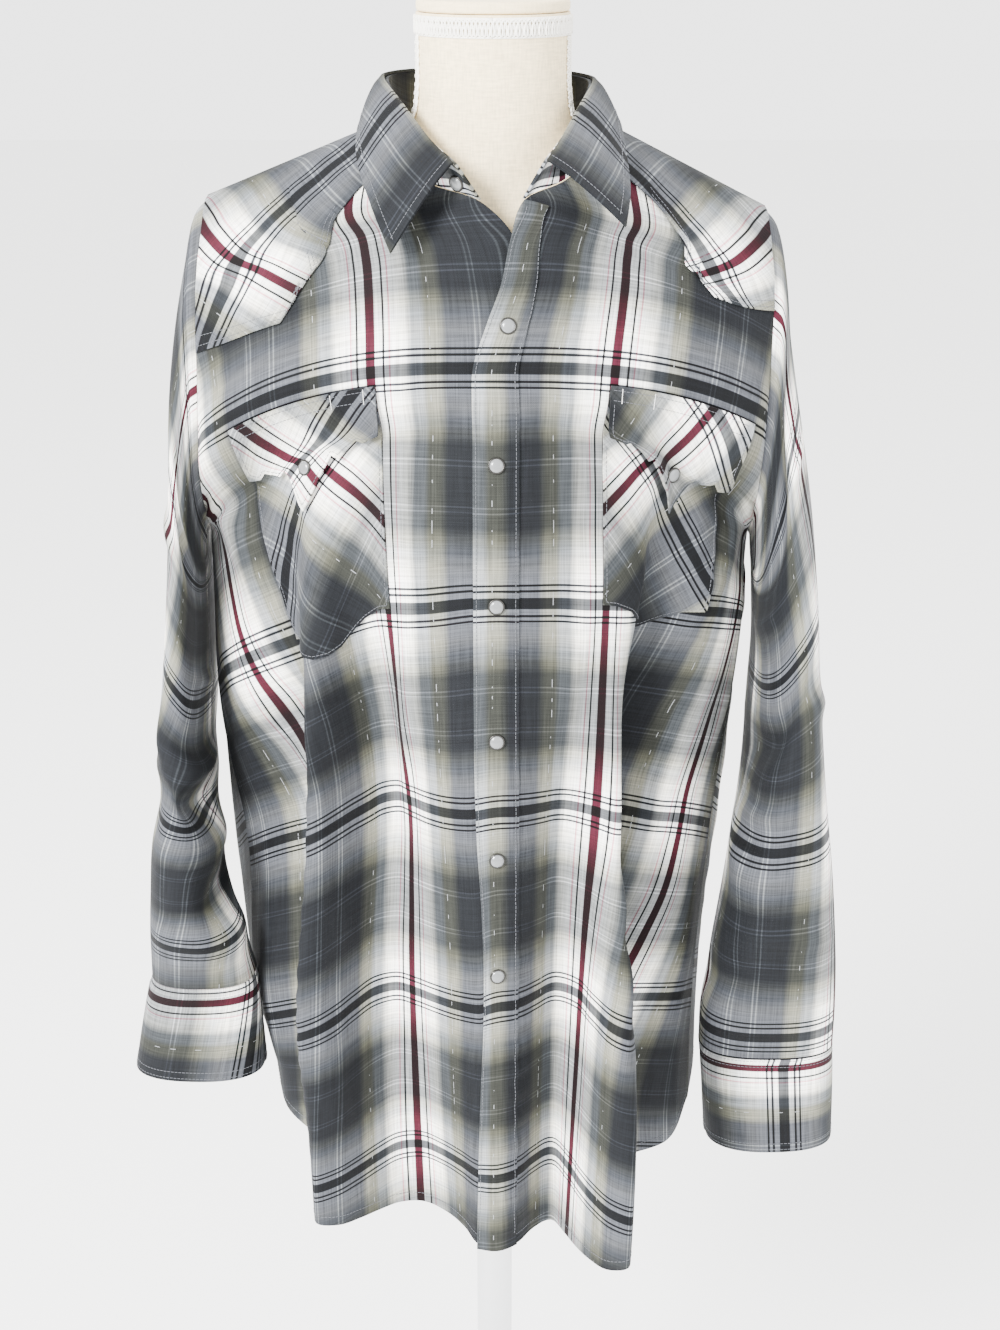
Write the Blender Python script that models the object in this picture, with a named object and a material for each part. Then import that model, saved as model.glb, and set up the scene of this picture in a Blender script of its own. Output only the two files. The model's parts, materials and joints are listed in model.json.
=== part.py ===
"""Western snap shirt worn by a limbless dress form on a pole and a round base.

Metres, +Z up. The shirt faces -Y and the wearer's right is -X. The origin is the
centre of the base's underside. Every cloth piece is a thin closed wall whose outer
face is worked out from short tables: a row for each section, fold or edge.

Cloth places are given in cloth metres: "across" runs from the centre line round to
the side, and "down" runs from the front neck point towards the hem.
"""
import math

import bmesh
import bpy
import numpy as np

# ---- driving sizes ---------------------------------------------------------------
CLOTH = 0.0012            # shirting wall, with its seam allowances
COLLAR_CLOTH = 0.0018     # collar and stand: two layers and interlining
SEAM = 0.0003             # gap between pieces that are sewn together
YOKE_GAP = 0.0010         # the same under a yoke, where the shoulder twists
OVERLAY_GAP = 0.0005      # gap between a panel and what is sewn on it
QUARTER_GIRTH = 0.310     # centre line to side seam, on the flat cloth
OVERLAP = {"right": 0.0140, "left": 0.0125}   # how far each front passes the centre
SNAP_RADIUS = 0.0050
SNAP_HEIGHT = 0.0024
SNAP_GAP = 0.0004          # between the cloth and the foot of the cap
SNAP_SIDES = 10
SNAP_PROFILE = ((0.40, 0.0), (1.0, 0.3), (1.0, 0.6), (0.82, 0.7), (0.45, 1.1))
FRONT_SNAPS = (0.075, 0.161, 0.252, 0.348, 0.436, 0.525)   # places down the placket
STAND_SNAP = (0.55, 0.75)    # row and column of the stand, at the wearer's right end
NECK_RADIUS = 0.0495
NECK_TOP = 1.292
CAP_TOP = 1.300
TORSO_BOTTOM = 0.620
POLE_RADIUS = 0.014
BASE_RADIUS = 0.165
BASE_HEIGHT = 0.016
SIGN = {"right": -1.0, "left": 1.0}

# ---- body sections ---------------------------------------------------------------
# A row is one line of cloth from the centre line or neckline to the armhole or side.
SECTION = ("down_in", "down_out", "edge_r", "edge_l", "y_in", "z_in", "x_r", "x_l",
           "y_out", "z_r", "z_l", "square", "sag")
FRONT_SECTIONS = (
    (-0.085, -0.055, 0.0720, 0.0720, -0.0003, 1.2220, 0.188, 0.179, -0.0003, 1.1750, 1.1680, 1.0, 1.00),
    (-0.076, -0.046, 0.0705, 0.0705, -0.0100, 1.2200, 0.189, 0.180, -0.0090, 1.1725, 1.1655, 1.0, 1.00),
    (-0.045, -0.020, 0.0600, 0.0610, -0.0400, 1.2050, 0.191, 0.182, -0.0250, 1.1530, 1.1460, 1.1, 1.00),
    (-0.020, 0.005, 0.0400, 0.0430, -0.0620, 1.1920, 0.193, 0.183, -0.0360, 1.1310, 1.1240, 1.2, 1.10),
    (0.000, 0.022, 0.0080, 0.0190, -0.0755, 1.1830, 0.194, 0.183, -0.0420, 1.1140, 1.1080, 1.3, 1.20),
    (0.050, 0.062, -0.0105, 0.0050, -0.0910, 1.1340, 0.195, 0.182, -0.0480, 1.0590, 1.0760, 1.5, 2.50),
    (0.100, 0.100, -0.0140, -0.0125, -0.1050, 1.0840, 0.196, 0.181, -0.0500, 1.0210, 1.0380, 1.7, 2.70),
    (0.130, 0.130, -0.0140, -0.0125, -0.1130, 1.0550, 0.198, 0.180, -0.0380, 0.9920, 0.9960, 1.2, 2.20),
    (0.155, 0.155, -0.0140, -0.0125, -0.1190, 1.0310, 0.200, 0.179, 0.0040, 0.9360, 0.9340, 1.4, 2.70),
    (0.190, 0.190, -0.0140, -0.0125, -0.1270, 0.9970, 0.200, 0.178, 0.0060, 0.8990, 0.9080, 1.5, 2.70),
    (0.250, 0.250, -0.0140, -0.0125, -0.1335, 0.9383, 0.200, 0.178, 0.0080, 0.8260, 0.8800, 1.6, 1.60),
    (0.400, 0.400, -0.0140, -0.0125, -0.1450, 0.7970, 0.191, 0.165, 0.0060, 0.6850, 0.7130, 1.5, 1.60),
    (0.550, 0.490, -0.0140, -0.0125, -0.1570, 0.6570, 0.184, 0.156, 0.0040, 0.6080, 0.6370, 2.0, 1.55),
    (0.650, 0.535, -0.0140, -0.0125, -0.1620, 0.5680, 0.176, 0.154, 0.0030, 0.5630, 0.5850, 2.0, 1.85),
    (0.700, 0.552, -0.0140, -0.0125, -0.1640, 0.5240, 0.172, 0.154, 0.0030, 0.5680, 0.5650, 2.0, 1.95),
    (0.766, 0.570, -0.0140, -0.0125, -0.1660, 0.4640, 0.168, 0.154, 0.0030, 0.5510, 0.5480, 2.0, 2.05),
)
BACK_SECTIONS = (
    (-0.030, -0.008, 0.0720, 0.0720, 0.0003, 1.2220, 0.188, 0.179, 0.0003, 1.1750, 1.1680, 1.0, 1.00),
    (-0.020, 0.001, 0.0690, 0.0690, 0.0110, 1.2205, 0.189, 0.180, 0.0100, 1.1725, 1.1655, 1.0, 1.00),
    (-0.004, 0.014, 0.0460, 0.0460, 0.0430, 1.2150, 0.190, 0.181, 0.0220, 1.1590, 1.1520, 1.2, 1.00),
    (0.004, 0.026, 0.0200, 0.0200, 0.0560, 1.2130, 0.191, 0.182, 0.0310, 1.1480, 1.1410, 1.4, 1.00),
    (0.010, 0.040, 0.0000, 0.0000, 0.0590, 1.2100, 0.192, 0.182, 0.0390, 1.1350, 1.1280, 1.6, 1.10),
    (0.055, 0.075, 0.0000, 0.0000, 0.0780, 1.1690, 0.194, 0.182, 0.0480, 1.1000, 1.0930, 1.8, 1.30),
    (0.105, 0.115, 0.0000, 0.0000, 0.0940, 1.1210, 0.196, 0.181, 0.0520, 1.0600, 1.0530, 1.9, 1.50),
    (0.150, 0.155, 0.0000, 0.0000, 0.1040, 1.0770, 0.198, 0.180, 0.0440, 1.0080, 1.0030, 2.1, 1.60),
    (0.180, 0.180, 0.0000, 0.0000, 0.1090, 1.0480, 0.200, 0.179, 0.0040, 0.9360, 0.9340, 2.2, 2.20),
    (0.215, 0.215, 0.0000, 0.0000, 0.1130, 1.0130, 0.200, 0.178, 0.0060, 0.8990, 0.9080, 2.3, 2.20),
    (0.275, 0.275, 0.0000, 0.0000, 0.1180, 0.9530, 0.200, 0.178, 0.0080, 0.8260, 0.8800, 2.3, 1.60),
    (0.425, 0.425, 0.0000, 0.0000, 0.1200, 0.8030, 0.191, 0.165, 0.0060, 0.6850, 0.7130, 2.2, 1.60),
    (0.575, 0.515, 0.0000, 0.0000, 0.1240, 0.6530, 0.184, 0.156, 0.0040, 0.6080, 0.6370, 2.1, 1.55),
    (0.700, 0.560, 0.0000, 0.0000, 0.1290, 0.5290, 0.176, 0.154, 0.0030, 0.5630, 0.5850, 2.1, 1.85),
    (0.770, 0.577, 0.0000, 0.0000, 0.1320, 0.4590, 0.172, 0.154, 0.0030, 0.5680, 0.5650, 2.1, 1.95),
    (0.830, 0.595, 0.0000, 0.0000, 0.1340, 0.3990, 0.168, 0.154, 0.0030, 0.5510, 0.5480, 2.1, 2.05),
)
SECTIONS = {"front": FRONT_SECTIONS, "back": BACK_SECTIONS}

# Rows and columns of the walls. Columns are cloth metres from the centre line.
FRONT_LEVELS = (-0.085, -0.076, -0.060, -0.045, -0.020, 0.000, 0.025, 0.050, 0.075, 0.100,
                0.120, 0.138, 0.155, 0.180, 0.207, 0.234, 0.262, 0.290, 0.325, 0.370, 0.420,
                0.470, 0.520, 0.570, 0.620, 0.670, 0.720, 0.766)
BACK_LEVELS_ABOVE = (-0.030, -0.020, -0.004, 0.004, 0.010, 0.035, 0.070, 0.105, 0.140)
FRONT_COLUMNS = (-0.0125, 0.0020, 0.0160, 0.035, 0.055, 0.075, 0.093, 0.111, 0.130, 0.148,
                 0.166, 0.184, 0.212, 0.244, 0.277, 0.310)
BACK_COLUMNS = (0.000, 0.026, 0.052, 0.078, 0.104, 0.130, 0.157, 0.184, 0.212, 0.244, 0.277,
                0.310)
POCKET_OUTER = 0.184
BACK_NECK_LEVEL = 0.010    # rows of the back above this stop at the neckline
NECK_LEVELS = tuple(level for level in BACK_LEVELS_ABOVE if level <= BACK_NECK_LEVEL)
ARMPIT_ROW = 8             # the row of both section tables that meets at the underarm
BACK_EXTRA = 0.025         # how much further down the back's cloth is at the side seam
SEAM_SHARE = 0.51          # where the side seam lies between the two centre lines
OPENED_SHARE = 0.33        # how much of the neck's opening carries on into the front
DENSE = 121                # steps along a line of cloth before its columns are read
FRONT_ARMPIT = 0.155
BACK_ARMPIT = 0.180

# ---- folds of the hanging body ---------------------------------------------------
# "across" is measured round the body from the front centre line: 0.31 is the side
# seam and 0.62 the back centre line. Height is out from the body, shift is sideways
# towards the front centre line.
FOLD = ("side", "across_top", "across_hem", "down_start", "down_full", "half_width",
        "height", "shift")
FOLDS = (
    ("right", 0.032, 0.055, 0.169, 0.576, 0.032, 0.000, 0.028),
    ("right", 0.117, 0.078, 0.117, 0.384, 0.031, -0.040, -0.016),
    ("right", 0.148, 0.134, 0.114, 0.409, 0.032, 0.044, 0.001),
    ("right", 0.191, 0.169, 0.112, 0.369, 0.029, -0.031, 0.005),
    ("right", 0.365, 0.372, 0.320, 0.680, 0.030, 0.016, 0.000),
    ("right", 0.450, 0.462, 0.260, 0.700, 0.032, -0.018, 0.000),
    ("right", 0.545, 0.538, 0.300, 0.700, 0.034, 0.018, 0.004),
    ("left", 0.078, 0.037, 0.300, 0.576, 0.034, -0.029, -0.015),
    ("left", 0.144, 0.110, 0.280, 0.710, 0.040, 0.062, 0.028),
    ("left", 0.180, 0.147, 0.112, 0.341, 0.027, -0.038, 0.014),
    ("left", 0.163, 0.175, 0.250, 0.400, 0.020, -0.018, 0.008),
    ("left", 0.340, 0.345, 0.330, 0.680, 0.030, -0.014, 0.000),
    ("left", 0.430, 0.425, 0.280, 0.700, 0.034, 0.018, 0.000),
    ("left", 0.520, 0.515, 0.300, 0.700, 0.032, -0.016, 0.000),
)
FOLD_FREE = 0.030      # no fold reaches the centre line; they rise over this width
HEM_DOWN = 0.766

# ---- sleeves ---------------------------------------------------------------------
# A ring hangs between an outer and an inner point and is twice half_depth front to back.
SLEEVE = ("down", "out_x", "out_z", "in_x", "in_z", "y_mid", "half_depth", "square")
SLEEVE_SECTIONS = {
    "right": (
        (0.000, 0.1883, 1.1750, 0.2003, 0.9360, 0.000, 0.051, 2.0),
        (0.012, 0.1965, 1.1660, 0.2025, 0.9330, 0.001, 0.053, 2.0),
        (0.038, 0.2030, 1.1410, 0.2035, 0.9290, 0.002, 0.057, 2.0),
        (0.078, 0.2120, 1.1010, 0.2034, 0.9240, 0.004, 0.060, 2.1),
        (0.125, 0.2185, 1.0540, 0.2036, 0.9170, 0.006, 0.064, 2.2),
        (0.175, 0.2210, 1.0050, 0.2040, 0.9050, 0.008, 0.069, 2.4),
        (0.235, 0.2245, 0.9440, 0.2044, 0.8800, 0.009, 0.074, 2.6),
        (0.300, 0.2300, 0.8800, 0.2048, 0.8400, 0.008, 0.077, 2.8),
        (0.345, 0.2345, 0.8360, 0.2060, 0.8020, 0.005, 0.078, 2.8),
        (0.385, 0.2375, 0.7990, 0.2060, 0.7790, -0.008, 0.074, 2.6),
        (0.420, 0.2370, 0.7670, 0.2020, 0.7550, -0.022, 0.068, 2.5),
        (0.455, 0.2430, 0.7360, 0.1990, 0.7300, -0.040, 0.060, 2.5),
        (0.500, 0.2450, 0.6990, 0.1920, 0.6960, -0.056, 0.050, 2.5),
        (0.540, 0.2470, 0.6700, 0.1850, 0.6690, -0.060, 0.042, 2.5),
        (0.565, 0.2480, 0.6480, 0.1790, 0.6480, -0.060, 0.036, 2.5),
        (0.585, 0.2490, 0.6290, 0.1740, 0.6290, -0.058, 0.030, 2.6),
    ),
    "left": (
        (0.000, 0.1793, 1.1680, 0.1793, 0.9340, 0.000, 0.051, 2.0),
        (0.012, 0.1870, 1.1590, 0.1810, 0.9310, 0.001, 0.053, 2.0),
        (0.040, 0.1935, 1.1320, 0.1820, 0.9260, 0.002, 0.057, 2.0),
        (0.085, 0.1995, 1.0870, 0.1828, 0.9190, 0.003, 0.062, 2.1),
        (0.145, 0.2095, 1.0280, 0.1840, 0.9080, 0.002, 0.067, 2.2),
        (0.200, 0.2180, 0.9740, 0.1850, 0.8960, 0.000, 0.072, 2.4),
        (0.260, 0.2240, 0.9150, 0.1870, 0.8540, -0.004, 0.077, 2.6),
        (0.330, 0.2290, 0.8460, 0.1850, 0.8110, -0.010, 0.079, 2.8),
        (0.400, 0.2350, 0.7770, 0.1800, 0.7620, -0.026, 0.070, 2.8),
        (0.470, 0.2420, 0.7100, 0.1680, 0.7030, -0.050, 0.056, 2.6),
        (0.530, 0.2460, 0.6530, 0.1570, 0.6510, -0.066, 0.044, 2.5),
        (0.570, 0.2480, 0.6150, 0.1510, 0.6140, -0.068, 0.037, 2.5),
        (0.605, 0.2490, 0.5760, 0.1510, 0.5760, -0.064, 0.031, 2.6),
    ),
}
# Crumples of the sleeve: where they lie, their lean, their reach and their height.
CRUMPLE = ("side", "down", "around", "lean_deg", "half_length", "half_width", "height")
CRUMPLES = (
    ("right", 0.372, 0.120, 12.0, 0.085, 0.016, 0.009),
    ("right", 0.412, 0.120, 18.0, 0.085, 0.016, -0.012),
    ("right", 0.452, 0.115, 8.0, 0.080, 0.016, 0.008),
    ("right", 0.496, 0.100, -14.0, 0.075, 0.017, -0.007),
    ("right", 0.540, 0.095, 6.0, 0.070, 0.016, 0.006),
    ("right", 0.130, 0.120, 62.0, 0.090, 0.020, -0.004),
    ("left", 0.105, 0.110, 64.0, 0.095, 0.018, -0.006),
    ("left", 0.330, 0.120, 34.0, 0.090, 0.020, -0.007),
    ("left", 0.450, 0.125, -28.0, 0.080, 0.020, 0.006),
    ("left", 0.540, 0.110, 24.0, 0.070, 0.018, -0.006),
)
RING_POINTS = 20
SLEEVE_RINGS = 24
CUFF_CLOTH = 0.0016
# Cuff: centre x, y and z, half width and half depth, at its top and its lower edge.
CUFF = ("x", "y", "z", "half_width", "half_depth")
CUFFS = {
    "right": ((-0.2115, -0.0580, 0.6280, 0.0385, 0.0285), (-0.2180, -0.0560, 0.5510, 0.0480, 0.0310)),
    "left": ((0.2000, -0.0640, 0.5750, 0.0490, 0.0290), (0.2060, -0.0600, 0.4930, 0.0475, 0.0310)),
}

# ---- collar ----------------------------------------------------------------------
# Stations run from the back centre line to the front end, on one side.
COLLAR = ("top_x", "top_y", "top_z", "edge_x", "edge_y", "edge_z")
COLLAR_STATIONS = {
    "right": (
        (0.0000, 0.0600, 1.2500, 0.0000, 0.0900, 1.2100),
        (0.0380, 0.0520, 1.2520, 0.0500, 0.0780, 1.2120),
        (0.0660, 0.0260, 1.2520, 0.0810, 0.0380, 1.2190),
        (0.0690, 0.0000, 1.2490, 0.0860, -0.0060, 1.2200),
        (0.0570, -0.0300, 1.2370, 0.0850, -0.0480, 1.2030),
        (0.0400, -0.0580, 1.2190, 0.0750, -0.0780, 1.1790),
        (0.0240, -0.0790, 1.2060, 0.0625, -0.1005, 1.1540),
    ),
    "left": (
        (0.0000, 0.0600, 1.2500, 0.0000, 0.0900, 1.2100),
        (0.0360, 0.0520, 1.2510, 0.0490, 0.0780, 1.2110),
        (0.0600, 0.0260, 1.2500, 0.0740, 0.0380, 1.2170),
        (0.0630, 0.0000, 1.2470, 0.0800, -0.0060, 1.2240),
        (0.0540, -0.0300, 1.2350, 0.0840, -0.0440, 1.2040),
        (0.0430, -0.0560, 1.2190, 0.0850, -0.0740, 1.1870),
        (0.0330, -0.0770, 1.2070, 0.0815, -0.0990, 1.1700),
    ),
}
STAND_ROWS = 2
STAND_SHARE = 0.97         # the stand ends just under the fold
COLLAR_STEPS = 13
# How far down the leaf a row lies, and how far it stands off the straight line.
LEAF_PROFILE = ((0.05, 0.0016), (0.25, 0.0032), (0.60, 0.0030), (1.00, 0.0008))

# ---- pieces sewn on the fronts ---------------------------------------------------
# Edges in cloth metres: across from the centre line, then down.
YOKE_FRONT = {
    "right": ((0.070, -0.030), (0.086, -0.010), (0.104, 0.016), (0.108, 0.030), (0.114, 0.036),
              (0.119, 0.052), (0.135, 0.055), (0.165, 0.051), (0.205, 0.046), (0.260, 0.044)),
    "left": ((0.072, -0.040), (0.090, -0.028), (0.112, 0.000), (0.118, 0.014), (0.126, 0.018),
             (0.131, 0.031), (0.140, 0.035), (0.155, 0.033), (0.180, 0.024), (0.215, 0.012),
             (0.260, 0.008)),
}
YOKE_BACK_DOWN = 0.105
SAME_ROW = 0.6             # rows of neighbouring columns this close are joined by one face
LONGEST_RUN = 1.0          # a column running on further than this steps the edge instead
ROW_CLEAR = 0.15           # rows this close to an edge give way to it
POCKET_TOP = 0.111
POCKET_FOOT = ((0.075, 0.262), (0.184, 0.262))
FLAP_TOP = 0.108
FLAP_EDGE = ((0.075, 0.142), (0.086, 0.147), (0.091, 0.143), (0.104, 0.157), (0.109, 0.153),
             (0.121, 0.174), (0.130, 0.187), (0.139, 0.174), (0.151, 0.153), (0.156, 0.157),
             (0.169, 0.143), (0.174, 0.147), (0.184, 0.142))
FLAP_LIFT = {"right": 0.004, "left": 0.008}
FLAP_SNAP = (0.130, 0.158)   # across and down
FLAP_SNAP_RISE = {"right": 0.0002, "left": 0.0011}   # the left flap is hollow under its snap
POCKET_CLOTH = 0.0011
FLAP_CLOTH = 0.0012

# ---- dress form ------------------------------------------------------------------
FORM = ("half_width", "z_side", "y_front", "z_front", "y_back", "z_back", "square")
FORM_RINGS = (
    (0.0495, 1.2920, -0.0495, 1.2920, 0.0495, 1.2920, 2.0),
    (0.0495, 1.2500, -0.0495, 1.2440, 0.0480, 1.2460, 2.0),
    (0.0520, 1.2320, -0.0500, 1.2080, 0.0470, 1.2200, 2.0),
    (0.0600, 1.2205, -0.0500, 1.1900, 0.0470, 1.2060, 2.0),
    (0.0820, 1.2127, -0.0520, 1.1737, 0.0490, 1.1917, 2.0),
    (0.1030, 1.2027, -0.0570, 1.1537, 0.0530, 1.1717, 2.0),
    (0.1230, 1.1922, -0.0640, 1.1337, 0.0580, 1.1457, 2.0),
    (0.1400, 1.1797, -0.0720, 1.1087, 0.0640, 1.1137, 2.0),
    (0.1490, 1.1500, -0.0820, 1.0760, 0.0700, 1.0780, 2.0),
    (0.1530, 1.1160, -0.0880, 1.0420, 0.0760, 1.0420, 2.0),
    (0.1460, 1.0600, -0.0880, 1.0000, 0.0800, 1.0020, 2.0),
    (0.1340, 0.9900, -0.0820, 0.9560, 0.0820, 0.9600, 2.0),
    (0.1240, 0.9100, -0.0700, 0.9000, 0.0780, 0.9000, 2.0),
    (0.1180, 0.8300, -0.0660, 0.8300, 0.0740, 0.8300, 2.1),
    (0.1220, 0.7500, -0.0620, 0.7500, 0.0820, 0.7500, 2.1),
    (0.1260, 0.6700, -0.0600, 0.6700, 0.0880, 0.6700, 2.1),
    (0.1240, 0.6300, -0.0590, 0.6300, 0.0860, 0.6300, 2.1),
    (0.1160, 0.6200, -0.0540, 0.6200, 0.0800, 0.6200, 2.1),
)
FORM_POINTS = 24
# Turned pieces: radius and height.
CAP_PROFILE = ((NECK_RADIUS, NECK_TOP + SEAM), (NECK_RADIUS, CAP_TOP - 0.003),
               (NECK_RADIUS - 0.004, CAP_TOP))
POLE_PROFILE = ((POLE_RADIUS, BASE_HEIGHT + 0.010 + SEAM), (POLE_RADIUS, TORSO_BOTTOM - SEAM))
BASE_PROFILE = ((BASE_RADIUS - 0.004, 0.0), (BASE_RADIUS, 0.004), (BASE_RADIUS, BASE_HEIGHT - 0.004),
                (BASE_RADIUS - 0.004, BASE_HEIGHT), (0.030, BASE_HEIGHT + 0.002),
                (0.022, BASE_HEIGHT + 0.010))

# ---- finishes --------------------------------------------------------------------
# name: colour, roughness, metallic
FINISHES = {
    "plaid_shirting": ((0.42, 0.43, 0.45), 0.85, 0.0),
    "pearl_snap": ((0.86, 0.87, 0.88), 0.25, 0.0),
    "cream_linen": ((0.78, 0.72, 0.62), 0.90, 0.0),
    "neck_cap_cloth": ((0.80, 0.75, 0.66), 0.85, 0.0),
    "pole_steel": ((0.75, 0.75, 0.76), 0.30, 1.0),
    "base_enamel": ((0.86, 0.86, 0.85), 0.35, 0.0),
}


# ---- working out the cloth -------------------------------------------------------
def column(rows, names, name):
    """One named column of a table as an array."""
    place = names.index(name)
    return np.array([row[place] for row in rows], float)


def along(knots, values, at):
    """A smooth curve through the values at the knots, read at the given places."""
    knots, values = np.asarray(knots, float), np.asarray(values, float)
    at = np.clip(np.asarray(at, float), knots[0], knots[-1])
    slope = np.empty_like(values)
    slope[1:-1] = (values[2:] - values[:-2]) / (knots[2:] - knots[:-2])
    slope[0] = (values[1] - values[0]) / (knots[1] - knots[0])
    slope[-1] = (values[-1] - values[-2]) / (knots[-1] - knots[-2])
    first = np.clip(np.searchsorted(knots, at, side="right") - 1, 0, len(knots) - 2)
    step = knots[first + 1] - knots[first]
    t = (at - knots[first]) / step
    return ((1 + 2 * t) * (1 - t) ** 2 * values[first] + t * (1 - t) ** 2 * step * slope[first]
            + t * t * (3 - 2 * t) * values[first + 1] + t * t * (t - 1) * step * slope[first + 1])


def ease(value):
    """0 below 0, 1 above 1 and a smooth rise between."""
    value = np.clip(value, 0.0, 1.0)
    return value * value * (3 - 2 * value)


def fold_offsets(side, across, down):
    """How far the folds push the cloth out, and sideways, at a place of the body."""
    out = np.zeros_like(across)
    sideways = np.zeros_like(across)
    for row in FOLDS:
        fold = dict(zip(FOLD, row))
        if fold["side"] != side:
            continue
        share = np.clip((down - fold["down_start"]) / (HEM_DOWN - fold["down_start"]), 0, 1)
        middle = fold["across_top"] + (fold["across_hem"] - fold["across_top"]) * share
        growth = ease((down - fold["down_start"]) / (fold["down_full"] - fold["down_start"]))
        bump = np.exp(-((across - middle) / fold["half_width"]) ** 2) * growth
        bump = bump * ease(across / FOLD_FREE)
        out += fold["height"] * bump
        sideways += fold["shift"] * bump
    return out, sideways


def quarter(side, face, level):
    """The unfolded line of cloth from the centre line, or the neck edge, to the side."""
    rows = SECTIONS[face]
    if level >= rows[ARMPIT_ROW][0]:
        rows = rows[ARMPIT_ROW:]
    knots = column(rows, SECTION, "down_in")
    pick = {name: float(along(knots, column(rows, SECTION, name), [level])[0]) for name in SECTION}
    start = max(pick["edge_" + side[0]], 0.0)
    x_out, z_out = pick["x_" + side[0]], pick["z_" + side[0]]
    turn = np.linspace(0, math.pi / 2, DENSE)
    power = 2.0 / max(pick["square"], 1.0)
    x = start + (x_out - start) * np.sin(turn) ** power
    y = pick["y_out"] + (pick["y_in"] - pick["y_out"]) * np.cos(turn) ** power
    length = np.concatenate([[0], np.cumsum(np.hypot(np.diff(x), np.diff(y)))])
    share = length / length[-1]
    fall = share ** pick["sag"]
    z = pick["z_in"] + (z_out - pick["z_in"]) * fall
    v = pick["down_in"] + (pick["down_out"] - pick["down_in"]) * fall
    return np.stack([x, y, z, v, share * QUARTER_GIRTH], axis=1), pick["edge_" + side[0]]


def paired(face, level):
    """The level of the other face whose line of cloth meets this one at the side."""
    other = "back" if face == "front" else "front"
    mine = column(SECTIONS[face], SECTION, "down_in")[ARMPIT_ROW:]
    theirs = column(SECTIONS[other], SECTION, "down_in")[ARMPIT_ROW:]
    return float(np.interp(level, mine, theirs))


BACK_LEVELS = BACK_LEVELS_ABOVE + tuple(paired("front", level) for level in FRONT_LEVELS
                                        if level >= FRONT_ARMPIT)


def half_line(side, face, level):
    """One folded line of cloth from the centre line to the armhole or the side seam.

    Columns: x (away from the centre), y, z, down, and the true length from the centre.
    """
    armpit = SECTIONS[face][ARMPIT_ROW][0]
    own, edge = quarter(side, face, level)
    if level < armpit:
        line = own
        if face == "back":
            line = own[::-1].copy()
            line[:, 4] = 2 * QUARTER_GIRTH - line[:, 4]
    else:
        other, _ = quarter(side, "back" if face == "front" else "front", paired(face, level))
        front, back = (own, other) if face == "front" else (other, own)
        back = back[::-1][1:].copy()
        back[:, 3] -= BACK_EXTRA
        back[:, 4] = 2 * QUARTER_GIRTH - back[:, 4]
        line = np.concatenate([front, back])
    x, y, z, v, round_body = line.T
    tx, ty = np.gradient(x), np.gradient(y)
    size = np.maximum(np.hypot(tx, ty), 1e-12)
    tx, ty = tx / size, ty / size
    out, sideways = fold_offsets(side, round_body, v)
    x = x + ty * out - tx * sideways
    y = y - tx * out - ty * sideways
    run = np.concatenate([[0], np.cumsum(np.sqrt(
        np.diff(x) ** 2 + np.diff(y) ** 2 + (np.diff(z) + np.diff(v)) ** 2))])
    if face == "back":
        v = v + (BACK_EXTRA if level >= armpit else 0)
        x, y, z, v = x[::-1], y[::-1], z[::-1], v[::-1]
        total = run[-1]
        run = (total - run)[::-1]
    else:
        total = run[-1]
    shift = max(edge + OVERLAP[side], 0) if face == "front" else 0.0
    if level < armpit:
        y = y + (SEAM / 2) * (-1 if face == "front" else 1) * (run / total) ** 4
    else:
        seam = total * (SEAM_SHARE if face == "front" else 1 - SEAM_SHARE) - SEAM / 2
        x, y, z, v = (np.append(a[run < seam], np.interp(seam, run, a)) for a in (x, y, z, v))
        run = np.append(run[run < seam], seam)
    start = max(edge, 0.0)
    if face == "front":
        opened = OPENED_SHARE * shift * ease(1 + level / 0.085)
        near = (1 - OPENED_SHARE) * shift * (1 - ease(run / 0.080)) * ease(1 + level / 0.020)
        run = run + start - opened - near
    else:
        run = run + start
    return np.stack([SIGN[side] * x, y, z, v, run], axis=1), edge


def cloth_line(side, face, level):
    """A line of cloth of one panel, with the part that passes the centre of a front."""
    line, edge = half_line(side, face, level)
    if face == "back" or edge >= 0:
        return line
    other, _ = half_line("left" if side == "right" else "right", face, level)
    reach = -edge
    own = other[:, 4] - other[0, 4]
    inside = own < reach
    lap = np.array([np.interp(reach, own, other[:, k]) for k in range(5)])
    lap = np.concatenate([[lap], other[inside][::-1][:-1]])
    lap[:, 4] = line[0, 4] - (lap[:, 4] - other[0, 4])
    return np.concatenate([lap, line])


def body_grid(side, face, levels, columns):
    """Outer points of half a front or back, with their across and down cloth places."""
    points, across, down = [], [], []
    for level in levels:
        line = cloth_line(side, face, level)
        places = column_places(columns, line[0, 4], line[-1, 4], level, face)
        points.append(np.stack([np.interp(places, line[:, 4], line[:, k]) for k in range(3)], axis=1))
        across.append(places)
        down.append(np.interp(places, line[:, 4], line[:, 3]))
    return np.array(points), np.array(across), np.array(down)


def column_places(columns, start, end, level, face):
    """Where the columns lie on one row: fixed on the cloth below the neck, shared above it."""
    columns = np.asarray(columns, float)
    first, last = columns[0], columns[-1]
    fixed = columns.copy()
    beyond = columns > POCKET_OUTER
    fixed[beyond] = POCKET_OUTER + (columns[beyond] - POCKET_OUTER) * (end - POCKET_OUTER) / (
        last - POCKET_OUTER)
    fixed[0] = start
    shared = start + (end - start) * (columns - first) / (last - first)
    blend = ease((level + 0.01) / 0.11) if face == "front" else ease((level - 0.01) / 0.08)
    return shared + (fixed - shared) * blend


def outward(points):
    """Unit normals of a grid of points: across its rows and down its columns."""
    side_way = np.gradient(points, axis=1)
    down_way = np.gradient(points, axis=0)
    normal = np.cross(side_way, down_way)
    return normal / np.maximum(np.linalg.norm(normal, axis=2, keepdims=True), 1e-12)


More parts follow.
